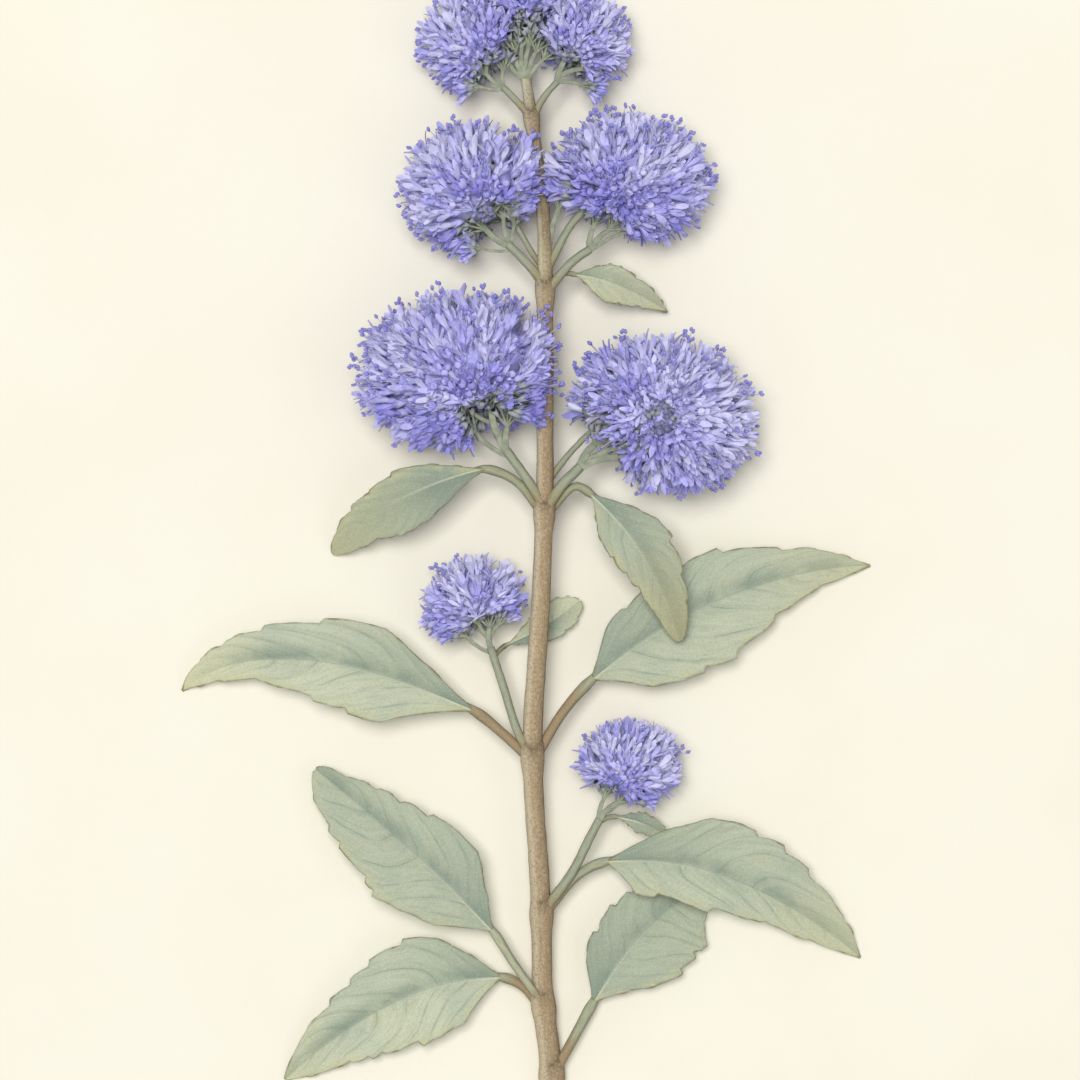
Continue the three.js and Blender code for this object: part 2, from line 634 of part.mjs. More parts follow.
const SPREAD_OF_FAN = 0.42; // twigs spread to this share of a head's smallest half size
const NARROW_SPREAD = 0.16; // but the top head's twigs rise between its two neighbours
for (const head of HEADS) {
  head.spread = head.name === 'head_7_top' ? NARROW_SPREAD : SPREAD_OF_FAN;
}
const fans = new Map(HEADS.map((head) => [head.name, makeFan(head)]));
for (const head of HEADS) {
  const others = HEADS.filter((other) => other !== head);
  const otherFans = others.flatMap((other) => fans.get(other.name));
  const around = [...limbs].filter(([name]) => name !== head.carrier).map(([, made]) => made);
  const carrier = limbs.get(head.carrier);
  const solid = makeHead(head, fans.get(head.name), [...around, ...otherFans, carrier], others);
  add(head.name, solid, materials.bloom);
}

// The origin is the middle of the sprig's footprint, on the surface that it lies on.
const box = new THREE.Box3().setFromObject(sprig);
const middle = box.getCenter(new THREE.Vector3());
sprig.position.set(-middle.x, -middle.y, -box.min.z);

export default sprig;
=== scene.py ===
# %% [markdown]
# # A cut stem of bluebeard
#
# Bluebeard is a small shrub whose stems carry pairs of grey-green toothed leaves and, above them,
# dense rounded heads of violet-blue flowers. This one is cut and laid on a table, and the camera
# looks straight down on it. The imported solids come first: they say where each limb, leaf and head
# lies, and every piece made here takes the place of one of them.

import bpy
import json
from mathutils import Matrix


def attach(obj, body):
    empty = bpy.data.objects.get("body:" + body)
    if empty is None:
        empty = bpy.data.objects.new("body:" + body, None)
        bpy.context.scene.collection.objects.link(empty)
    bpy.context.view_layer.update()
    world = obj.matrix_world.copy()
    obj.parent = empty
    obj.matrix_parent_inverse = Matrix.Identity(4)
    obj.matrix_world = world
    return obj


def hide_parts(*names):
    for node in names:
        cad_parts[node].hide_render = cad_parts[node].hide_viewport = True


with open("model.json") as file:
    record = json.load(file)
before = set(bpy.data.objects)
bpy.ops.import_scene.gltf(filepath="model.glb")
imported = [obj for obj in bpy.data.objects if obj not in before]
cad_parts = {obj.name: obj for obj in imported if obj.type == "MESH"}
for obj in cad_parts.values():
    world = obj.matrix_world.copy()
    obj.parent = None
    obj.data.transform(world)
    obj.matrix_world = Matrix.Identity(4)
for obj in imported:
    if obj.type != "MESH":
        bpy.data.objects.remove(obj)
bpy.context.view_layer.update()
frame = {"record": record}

# %% [markdown]
# Sizes below are in millimetres, measured from the cut foot: x to the right, y up the stem and z
# up from the table. The record knows where the middle of the foot lies in the frame, so one
# offset carries every point of the plant there.

# %% Millimetres to the frame
import json
import math
from types import SimpleNamespace

import bmesh
import bpy
import numpy as np
from mathutils import Matrix, Vector, noise

MM = 0.001
UP = Vector((0, 0, 1))
FOOT_MIDDLE = Vector((1.694, 0.0, 2.12))
foot = Vector(frame["record"]["mounts"][0]["pos_m"])
offset = foot - FOOT_MIDDLE * MM


class Plan(SimpleNamespace):
    """What is known of a leaf, a head or a flower before it is made."""


def place(point):
    return offset + Vector(point) * MM


def bell(distance, width):
    """1 at distance 0, and smoothly down to almost nothing at twice the width."""
    return math.exp(-((distance / width) ** 2))


print("offset", tuple(round(v, 6) for v in offset))

# %% [markdown]
# ## Camera, light and table
#
# A botanical plate shows its plant almost without perspective. A long lens from far above does
# the same, and a perspective camera still frames the other views well, which an orthographic one
# would crop. The plate has almost no shadows, so the main lamp hangs nearly overhead, a little
# to the upper left. A soft room and a weak second lamp fill in the rest.

# %% Camera
VIEW_MIDDLE = (-1.0, 118.0, 14.0)
VIEW_WIDTH = 216.0
LENS = 200.0
SENSOR = 36.0


def add_object(name, data):
    made = bpy.data.objects.new(name, data)
    bpy.context.scene.collection.objects.link(made)
    return made


camera_data = bpy.data.cameras.new("camera")
camera_data.lens = LENS
camera_data.sensor_width = SENSOR
camera = add_object("camera", camera_data)
camera.location = place(VIEW_MIDDLE) + Vector((0, 0, VIEW_WIDTH * LENS / SENSOR)) * MM
bpy.context.scene.camera = camera
print("camera height", round(camera.location.z, 3))

# %% Lamps and world
WARM_WHITE = (1.0, 0.99, 0.965)
COOL_WHITE = (0.96, 0.98, 1.0)
ROOM_STRENGTH = 0.35


def add_lamp(name, position, side, power, colour):
    """A square lamp, side metres wide, that faces the middle of the table."""
    data = bpy.data.lights.new(name, "AREA")
    data.size = side
    data.energy = power
    data.color = colour
    lamp = add_object(name, data)
    lamp.location = position
    lamp.rotation_euler = (-Vector(position)).to_track_quat("-Z", "Y").to_euler()
    print(name, power, "W")


add_lamp("key_lamp", (-0.28, 0.32, 3.0), 1.1, 68.0, WARM_WHITE)
add_lamp("fill_lamp", (1.6, -0.9, 2.6), 1.6, 6.0, COOL_WHITE)

world = bpy.data.worlds.new("soft_room")
world.use_nodes = True
background = world.node_tree.nodes["Background"]
background.inputs["Color"].default_value = (*WARM_WHITE, 1)
background.inputs["Strength"].default_value = ROOM_STRENGTH
bpy.context.scene.world = world
bpy.context.scene.view_settings.view_transform = "Standard"

# %% [markdown]
# ## Materials
#
# Each finish starts from one colour, and more tints are laid over it, as a painter lays washes.
# Patterns read Object coordinates, which are metres here, so a helper scales them to millimetres.
# Some pieces also store numbers of their own, such as how far a point is from the leaf's margin.
# Tints are written as they look on screen, and one function turns them into the linear values
# that the shader wants.

# %% Finishes
SPECULAR = 0.25
# Where a mix node, set to colours, has its inputs and its result.
MIX_FACTOR, MIX_BELOW, MIX_ABOVE = 0, 6, 7
MIX_RESULT = 2


def linear(tint):
    """The shader's linear colour for a screen colour such as 8FA08C."""
    channels = [int(tint[i:i + 2], 16) / 255 for i in (0, 2, 4)]
    curved = [c / 12.92 if c <= 0.04045 else ((c + 0.055) / 1.055) ** 2.4 for c in channels]
    return (*curved, 1.0)


class Finish:
    """A material being built: its nodes, and the colour that its layers make so far."""

    def __init__(self, name, roughness, tint):
        self.material = bpy.data.materials.new(name)
        self.material.use_nodes = True
        self.tree = self.material.node_tree
        self.shader = self.tree.nodes["Principled BSDF"]
        self.feed(self.shader, {"Roughness": roughness, "Specular IOR Level": SPECULAR})
        self.colour = tint

    def feed(self, node, values):
        """Gives inputs of a node a tint, plain numbers or another node's output."""
        for key, value in values.items():
            if isinstance(value, bpy.types.NodeSocket):
                self.tree.links.new(value, node.inputs[key])
            else:
                node.inputs[key].default_value = linear(value) if isinstance(value, str) else value

    def node(self, kind, values, output=0, **settings):
        """Adds a node with these inputs and settings, and gives back one output of it."""
        made = self.tree.nodes.new(kind)
        for key, value in settings.items():
            setattr(made, key, value)
        self.feed(made, values)
        return made.outputs[output]

    def coordinates(self, scale=(1, 1, 1)):
        """Object coordinates in millimetres, stretched by scale."""
        source = self.node("ShaderNodeTexCoord", {}, "Object")
        return self.node("ShaderNodeMapping", {"Vector": source, "Scale": [s / MM for s in scale]})

    def stored(self, name):
        """A number that the mesh stores for each of its points."""
        return self.node("ShaderNodeAttribute", {}, "Fac", attribute_name=name)

    def noise_over(self, vector, size, detail):
        return self.node("ShaderNodeTexNoise", {"Vector": vector, "Scale": 1 / size, "Detail": detail})

    def cloud(self, size, detail=3.0, scale=(1, 1, 1)):
        """Soft noise whose blotches are about size millimetres across."""
        return self.noise_over(self.coordinates(scale), size, detail)

    def pair(self, first, second):
        """A vector made of two numbers, for noise to read."""
        return self.node("ShaderNodeCombineXYZ", {"X": first, "Y": second})

    def grain_along(self, across, length):
        """Noise drawn out along a limb: across blotches to its width, each length mm long."""
        flank = self.times(self.stored("flank"), across)
        along = self.math("DIVIDE", self.stored("from_root"), length)
        return self.noise_over(self.pair(flank, along), 1.0, 3.0)

    def step(self, value, low, high, at_low=0.0, at_high=1.0):
        """Where value goes from low to high, a smooth change from at_low to at_high."""
        ends = {"From Min": low, "From Max": high, "To Min": at_low, "To Max": at_high}
        return self.node(
            "ShaderNodeMapRange", {"Value": value, **ends}, interpolation_type="SMOOTHSTEP",
        )

    def math(self, operation, *values):
        return self.node("ShaderNodeMath", dict(enumerate(values)), operation=operation)

    def times(self, first, *others):
        for other in others:
            first = self.math("MULTIPLY", first, other)
        return first

    def lay(self, tint, strength):
        """Lays a tint over the colour so far. The strength goes from 0 to 1."""
        layers = {MIX_FACTOR: strength, MIX_BELOW: self.colour, MIX_ABOVE: tint}
        self.colour = self.node("ShaderNodeMix", layers, MIX_RESULT, data_type="RGBA")

    def lay_where(self, tint, *change):
        """Lays a tint whose strength is the smooth change that step makes."""
        self.lay(tint, self.step(*change))

    def relief(self, height, depth):
        """Bump from a height that runs from 0 to 1 over depth millimetres."""
        bump = {"Height": height, "Distance": depth * MM, "Strength": 1.0}
        self.feed(self.shader, {"Normal": self.node("ShaderNodeBump", bump)})

    def finished(self):
        """The material, with its layers on the shader."""
        self.feed(self.shader, {"Base Color": self.colour})
        return self.material


# %% [markdown]
# The table is plain, pale and matte, like heavy paper, with the faintest unevenness in its colour
# so that it isn't a dead flat white.

# %% Table
TABLE_SIDE = 6.0
TABLE_DROP = 0.1

paper = Finish("pale_paper", 0.95, "F3F0E2")
paper.lay_where("F1EDDE", paper.cloud(45.0, 4.0), 0.35, 0.7)
paper.relief(paper.cloud(0.9, 2.0), 0.03)

table_bm = bmesh.new()
bmesh.ops.create_grid(table_bm, x_segments=2, y_segments=2, size=TABLE_SIDE / 2)
bmesh.ops.translate(table_bm, verts=table_bm.verts, vec=(0, 0, -TABLE_DROP * MM))
table_mesh = bpy.data.meshes.new("table")
table_bm.to_mesh(table_mesh)
table_bm.free()
table_mesh.materials.append(paper.finished())
add_object("table", table_mesh)
print("table", TABLE_SIDE, "m wide")

# %% [markdown]
# ## Limbs
#
# A stem or stalk is a round section that runs along a smooth route and gets thinner. A Blender
# curve does that: each of its points carries a radius. Its route is the same centripetal curve
# through the same few points as the solid's, so the fine limb lies on the plain one.

# %% Routes and limbs
SMALLEST_KNOT = 1e-4
SEAM = 1e-5


def even_shares(count):
    """Where count even steps from 0 to 1 start and end."""
    return [k / count for k in range(count + 1)]


def span_at(points, u):
    """Which span of a route the share u falls in, and how far along that span."""
    spans = len(points) - 1
    i = min(int(u * spans), spans - 1)
    return i, u * spans - i


def centripetal(points, u):
    """The point at share u of the smooth curve through the points, each span an equal share."""
    points = [Vector(p) for p in points]
    i, s = span_at(points, u)
    p0 = points[i - 1] if i > 0 else 2 * points[0] - points[1]
    p1, p2 = points[i], points[i + 1]
    p3 = points[i + 2] if i + 2 < len(points) else 2 * points[-1] - points[-2]
    gaps = ((p0, p1), (p1, p2), (p2, p3))
    d01, d12, d23 = ((b - a).length ** 0.5 or SMALLEST_KNOT for a, b in gaps)
    t1 = ((p1 - p0) / d01 - (p2 - p0) / (d01 + d12) + (p2 - p1) / d12) * d12
    t2 = ((p2 - p1) / d12 - (p3 - p1) / (d12 + d23) + (p3 - p2) / d23) * d12
    c2 = -3 * p1 + 3 * p2 - 2 * t1 - t2
    c3 = 2 * p1 - 2 * p2 + t1 + t2
    return p1 + t1 * s + c2 * s * s + c3 * s ** 3


def limb_mesh(points, radius_at, steps, smoothness=4):
    """A closed tube through the points, in millimetres, with 4 + 4 * smoothness sides."""
    curve = bpy.data.curves.new("limb", "CURVE")
    curve.dimensions = "3D"
    curve.bevel_depth = 1.0
    curve.bevel_resolution = smoothness
    curve.use_fill_caps = True
    curve.resolution_u = 1
    spline = curve.splines.new("POLY")
    spline.points.add(steps)
    for knot, u in zip(spline.points, even_shares(steps)):
        knot.co = (*centripetal(points, u), 1.0)
        knot.radius = radius_at(u)
    holder = bpy.data.objects.new("limb", curve)
    mesh = bpy.data.meshes.new_from_object(holder)
    bpy.data.objects.remove(holder)
    bpy.data.curves.remove(curve)
    tube = bmesh.new()
    tube.from_mesh(mesh)
    bmesh.ops.remove_doubles(tube, verts=tube.verts, dist=SEAM)
    bmesh.ops.recalc_face_normals(tube, faces=tube.faces)
    tube.to_mesh(mesh)
    tube.free()
    return mesh


def roughen(mesh, height_at):
    """Moves each point of a mesh along its normal by height_at(point), in millimetres."""
    normals = [v.normal.copy() for v in mesh.vertices]
    for vertex, normal in zip(mesh.vertices, normals):
        vertex.co += normal * height_at(vertex.co)


# %% [markdown]
# Every limb stores which flank a point is on and how far it is from the root, for its finish to
# read: the finish paints in the light and shade that soft light gives a round limb, pale on one
# flank and dark on the other. A finished piece rides on the root body, takes the place of its
# node and is moved to the frame in its mesh.

# %% Marks on a limb, and finished pieces
AWAY_FROM_LIGHT = np.array([0.7, -0.7, 0.0])
FLANK_SAMPLES = 120


def store(mesh, name, values):
    """Keeps one number for each point of the mesh, for its finish to read."""
    layer = mesh.attributes.new(name, "FLOAT", "POINT")
    layer.data.foreach_set("value", np.asarray(values, dtype=np.float32))


def mark_limb(mesh, points):
    """Stores flank, 0 on top and 1 or -1 at the two sides, and from_root in millimetres."""
    centres = np.array([centripetal(points, share)[:] for share in even_shares(FLANK_SAMPLES)])
    steps = np.gradient(centres, axis=0)
    lengths = np.linalg.norm(steps, axis=1)
    found = np.array([v.co[:] for v in mesh.vertices])
    nearest = np.argmin(((found[:, None, :] - centres[None, :, :]) ** 2).sum(axis=2), axis=1)
    tangents = (steps / lengths[:, None])[nearest]
    out = found - centres[nearest]
    out -= (out * tangents).sum(axis=1)[:, None] * tangents
    level = np.hypot(out[:, 0], out[:, 1]) / np.maximum(np.linalg.norm(out, axis=1), 1e-6)
    store(mesh, "flank", level * np.sign(out @ AWAY_FROM_LIGHT))
    store(mesh, "from_root", np.cumsum(lengths)[nearest])


def finish_piece(node, part, mesh, materials):
    """Puts a mesh made in millimetres into the frame, as one part of what replaces a node."""
    mesh.name = node + "_" + part
    mesh.transform(Matrix.Translation(offset) @ Matrix.Scale(MM, 4))
    mesh.shade_smooth()
    for material in materials:
        mesh.materials.append(material)
    piece = add_object(node + "_" + part, mesh)
    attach(piece, "root")
    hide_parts(node)
    return piece


# %% [markdown]
# ## The stem
#
# Bluebeard's stem is woody and tan, with fine lengthwise ridges and a swollen joint wherever
# leaves sit. Its stations are those of the solid. At a joint the stem widens into a collar, up to
# the V where the leaf stalk leaves it, and steps back in above. A joint with one leaf shows its V
# on that side alone.

# %% Stem: route and joints
STEM = [
    # A point of its middle line, and its radius there.
    ((1.8, -3.0, 1.85), 2.25),
    ((1.2, 11.6, 3.2), 2.2),
    ((-0.4, 26.0, 4.9), 2.1),
    ((-0.8, 44.6, 6.9), 2.0),
    ((-2.5, 75.6, 10.3), 1.95),
    ((-0.9, 105.0, 12.9), 1.9),
    ((-0.1, 125.0, 14.2), 1.75),
    ((0.0, 147.0, 14.2), 1.65),
    ((0.0, 168.0, 13.5), 1.6),
    ((-0.3, 182.0, 13.0), 1.35),
    ((-2.7, 202.4, 12.0), 1.25),
    ((-3.8, 210.4, 11.4), 1.05),
]
# How far up the stem each joint is, and the side of its leaf: 1 right, -1 left and 0 both.
JOINTS = {9.6: 1, 24.0: -1, 42.5: 1, 73.6: 0, 122.8: 0, 167.0: 0, 201.4: 0}
JOINT_SWELLING = 0.21
JOINT_HALF_LENGTH = 2.4
CROTCH_ABOVE = 1.8
CROTCH_SLOPE = 0.9
CROTCH_REACH = 0.7
stem_route = [point for point, _ in STEM]


def stem_radius(u):
    i, s = span_at(STEM, u)
    along = STEM[i][0][1] * (1 - s) + STEM[i + 1][0][1] * s
    plain = STEM[i][1] * (1 - s) + STEM[i + 1][1] * s
    return plain * (1 + JOINT_SWELLING * sum(bell(along - j, JOINT_HALF_LENGTH) for j in JOINTS))


def stem_middle_x(along):
    """Where the stem's middle is at this height up the stem, near enough for its colours."""
    return float(np.interp(along, [p[1] for p in stem_route], [p[0] for p in stem_route]))


def crotch_distances(co):
    """For each joint, how far the point is above its V, and how much of the V that side shows."""
    from_middle = co.x - stem_middle_x(co.y)
    for joint, side in JOINTS.items():
        above = co.y - joint - CROTCH_ABOVE - CROTCH_SLOPE * abs(from_middle)
        yield above, bell(from_middle, CROTCH_REACH) if side * from_middle < 0 else 1.0


print("stem", stem_route[0], "to", stem_route[-1])

# %% [markdown]
# The ridges and collars are real relief, in a mesh fine enough to show them. The specks between
# them are left to the material, because they are smaller than any mesh would show.

# %% Stem: relief
STEM_STEPS = 640
RIDGE_HEIGHT = 0.07
RIDGE_GRAIN = (1.5, 0.09, 1.5)
FINER_RIDGES = 2.3
LUMP_GRAIN = 0.35
COLLAR_HEIGHT = 0.34
COLLAR_LENGTH = 3.2
COLLAR_EDGE = 0.45
SHADE_LENGTH = 1.7
SHADE_LINE_WIDTH = 0.6


def collar(co):
    """The stem widens toward the V of a joint and steps back in above it."""
    return COLLAR_HEIGHT * max(
        shown * bell(above, COLLAR_LENGTH if above < 0 else COLLAR_EDGE)
        for above, shown in crotch_distances(co)
    )


def bark_height(co):
    """Lengthwise ridges, soft lumps, and a collar at each joint."""
    stretched = Vector(value * grain for value, grain in zip(co, RIDGE_GRAIN))
    ridges = noise.noise(stretched) + 0.5 * noise.noise(stretched * FINER_RIDGES)
    return RIDGE_HEIGHT * (ridges + 0.7 * noise.noise(co * LUMP_GRAIN)) + collar(co)


def crotch_shade(co):
    """Painted shade in the V where a leaf or a stalk joins the stem, darkest in the line above it."""
    return max(
        shown * max(0.5 * bell(above, SHADE_LENGTH), bell(above - COLLAR_EDGE, SHADE_LINE_WIDTH))
        for above, shown in crotch_distances(co)
    )


def cut_foot(mesh):
    """Cuts the tube off square at the foot and closes it there."""
    bm = bmesh.new()
    bm.from_mesh(mesh)
    everything = bm.verts[:] + bm.edges[:] + bm.faces[:]
    bmesh.ops.bisect_plane(
        bm, geom=everything, plane_co=(0, 0, 0), plane_no=(0, -1, 0), clear_outer=True,
    )
    bmesh.ops.holes_fill(bm, edges=[e for e in bm.edges if e.is_boundary], sides=0)
    bm.to_mesh(mesh)
    bm.free()


stem_mesh = limb_mesh(stem_route, stem_radius, STEM_STEPS, smoothness=7)
roughen(stem_mesh, bark_height)
cut_foot(stem_mesh)
mark_limb(stem_mesh, stem_route)
store(stem_mesh, "crotch", [crotch_shade(v.co) for v in stem_mesh.vertices])
print("stem", len(stem_mesh.polygons), "faces")

# %% [markdown]
# Bark changes along the stem: tan below, reddish above the fifth joint, brown just below the
# sixth, olive with a dark brown zone above it, and grey-green where the shoot is young. Painted
# light and shade make it pale on the flank toward the light, darker across and darkest at both
# edges, and painted shade lies in the joints. Fine dark and pale grain goes over everything.

# %% Bark
BARK_BANDS = [
    # Millimetres up the stem where a band starts, is full, starts to fade and has faded, its
    # strength while full, what stays of it further up, and its tint.
    (118.0, 134.0, 160.0, 168.0, 0.5, 0.0, "A98F74"),
    (165.0, 171.0, 196.0, 206.0, 0.8, 0.3, "B1AD8E"),
    (174.0, 180.0, 184.0, 192.0, 0.7, 0.25, "7A6A55"),
    (152.0, 156.5, 156.5, 161.0, 0.6, 0.0, "7D6F5C"),
    (195.0, 200.0, 200.0, 205.0, 0.6, 0.0, "A98F78"),
]
BARK_LIGHT_AND_SHADE = [
    # Painted light and shade across the stem. The tint of a layer, where on the flank it starts and
    #     is full, and its strength there: darker away from the light, pale toward it, dark at both edges.
    ("957D5D", -0.6, 0.85, 0.55),
    ("D6CAAE", -0.15, -0.6, 0.6),
    ("77654C", 0.86, 0.99, 0.7),
    ("77654C", -0.93, -1.0, 0.6),
]

bark = Finish("tan_bark", 0.85, "A69273")
bark.lay_where("B8A68A", bark.grain_along(3.0, 5.0), 0.3, 0.7)
bark.lay_where("AD9A7A", bark.cloud(8.0), 0.4, 0.7, 0.0, 0.45)

frame_y = bark.node("ShaderNodeSeparateXYZ", {"Vector": bark.coordinates()}, "Y")
up_stem = bark.math("SUBTRACT", frame_y, offset.y / MM)
for starts, full, fades, faded, strength, left, tint in BARK_BANDS:
    begun = bark.step(up_stem, starts, full)
    bark.lay(tint, bark.times(begun, bark.step(up_stem, fades, faded, strength, left)))
bark.lay_where("B3BAA2", up_stem, 200.0, 208.0, 0.0, 0.85)

# Painted light and shade: pale on the flank toward the light, darker away from it, darkest at both edges.
bark_flank = bark.stored("flank")
for tint, starts, full, strength in BARK_LIGHT_AND_SHADE:
    bark.lay_where(tint, bark_flank, starts, full, 0.0, strength)
# Painted shade in the V of each joint.
bark.lay("64563F", bark.times(bark.stored("crotch"), 0.9))
grain = bark.cloud(0.36, 3.0, scale=(1.0, 0.75, 1.0))
bark.lay_where("84725A", grain, 0.5, 0.68, 0.0, 0.6)
bark.lay_where("D2C4AA", grain, 0.46, 0.32, 0.0, 0.4)
bark.relief(bark.cloud(0.6, 4.0, scale=(1.0, 0.2, 1.0)), 0.12)
finish_piece("stem", "bark", stem_mesh, [bark.finished()])
print("bark bands", len(BARK_BANDS), "and flank layers", len(BARK_LIGHT_AND_SHADE))

# %% [markdown]
# ## Stalks of the flower heads
#
# The stalks are soft shoots with a bloom of fine grey down. They are tan and brown where they
# leave the stem and grey-green further out. Each starts inside the stem, where the joint hides
# its root.

# %% Stalks
STALKS = {
    # The radius at the root and at the far end, and the points of the route.
    "stalk_3_right":
        (1.0, 0.85, [(-0.4, 43.2, 7.4), (5.5, 51.3, 8.8), (9.0, 58.2, 9.2), (11.0, 62.0, 9.2)]),
    "stalk_4_left":
        (0.9, 0.8, [(-2.9, 74.8, 10.9), (-5.4, 79.4, 11.0), (-8.3, 88.4, 10.4), (-10.9, 96.4, 9.6)]),
    "stalk_5_left":
        (1.0, 0.9, [(-0.2, 124.6, 15.0), (-3.2, 129.6, 15.4), (-5.9, 133.4, 15.3), (-7.8, 136.0, 15.0)]),
    "stalk_5_right":
        (1.1, 1.0, [(0.0, 124.0, 15.0), (3.6, 129.2, 15.4), (5.6, 131.2, 15.3), (7.0, 132.6, 15.0)]),
    "stalk_5_right_upper":
        (0.7, 0.6, [(0.0, 128.4, 13.6), (2.0, 131.6, 12.9), (5.0, 135.4, 12.4), (8.4, 139.0, 12.4)]),
    "stalk_6_left":
        (0.95, 0.85, [(0.0, 168.6, 13.9), (-2.4, 172.0, 14.1), (-5.2, 175.0, 13.8), (-7.4, 177.2, 13.4)]),
    "stalk_6_left_upper":
        (0.65, 0.55, [(-0.1, 172.2, 13.0), (-2.2, 174.9, 12.2), (-4.6, 179.0, 11.7), (-7.0, 183.0, 11.6)]),
    "stalk_6_right":
        (0.95, 0.85, [(0.0, 166.8, 13.9), (2.0, 169.7, 14.1), (5.4, 173.6, 13.8), (9.0, 176.2, 13.3)]),
    "stalk_6_right_upper":
        (0.85, 0.75, [(0.0, 171.2, 13.2), (2.2, 175.6, 13.2), (4.9, 180.6, 13.0), (8.4, 184.8, 12.8)]),
    "stalk_7_left":
        (0.75, 0.65, [(-2.7, 202.0, 12.4), (-4.5, 204.6, 12.3), (-6.7, 207.0, 12.0), (-8.4, 208.7, 11.6)]),
    "stalk_7_right":
        (0.75, 0.65, [(-2.6, 201.4, 12.2), (-1.5, 204.4, 12.2), (0.3, 207.4, 11.9), (2.4, 209.8, 11.4)]),
}
STALK_STEPS = 40
STALK_LUMPS = 0.05


def shoot_finish(name, root_tint, far_tint, turns_from, turns_to):
    """Downy skin, one tint at the root and another further out, with painted shade away from the light."""
    shoot = Finish(name, 0.8, root_tint)
    down, side = shoot.cloud(0.35, 2.0), shoot.stored("flank")
    shoot.lay_where(far_tint, shoot.stored("from_root"), turns_from, turns_to)
    shoot.lay_where("7F8068", shoot.grain_along(2.2, 3.5), 0.42, 0.66, 0.0, 0.5)
    # Painted shade: darker on the flank away from the light, darkest at both edges.
    shoot.lay_where("7C7B60", side, 0.1, 0.95, 0.0, 0.45)
    shoot.lay_where("67664F", shoot.math("ABSOLUTE", side), 0.82, 0.99, 0.0, 0.65)
    shoot.lay_where("C3C3AB", down, 0.5, 0.78, 0.0, 0.35)
    shoot.relief(down, 0.05)
    return shoot.finished()


stalk_skin = shoot_finish("downy_stalk", "A1936F", "A0A792", 1.0, 8.0)

for stalk, (root_radius, far_radius, route) in STALKS.items():
    stalk_mesh = limb_mesh(route, lambda u: root_radius + (far_radius - root_radius) * u, STALK_STEPS)
    roughen(stalk_mesh, lambda co: STALK_LUMPS * noise.noise(co * 0.9))
    mark_limb(stalk_mesh, route)
    finish_piece(stalk, "shoot", stalk_mesh, [stalk_skin])
print("stalks", len(STALKS))

# %% [markdown]
# ## Leaves
#
# Bluebeard's leaves are grey-green, coarsely toothed blades on short stalks, which arch and then
# droop. Each leaf has its own values, as on the solid. Its sides list where the margin comes to a
# point: first the shoulder of the blade, then its teeth.

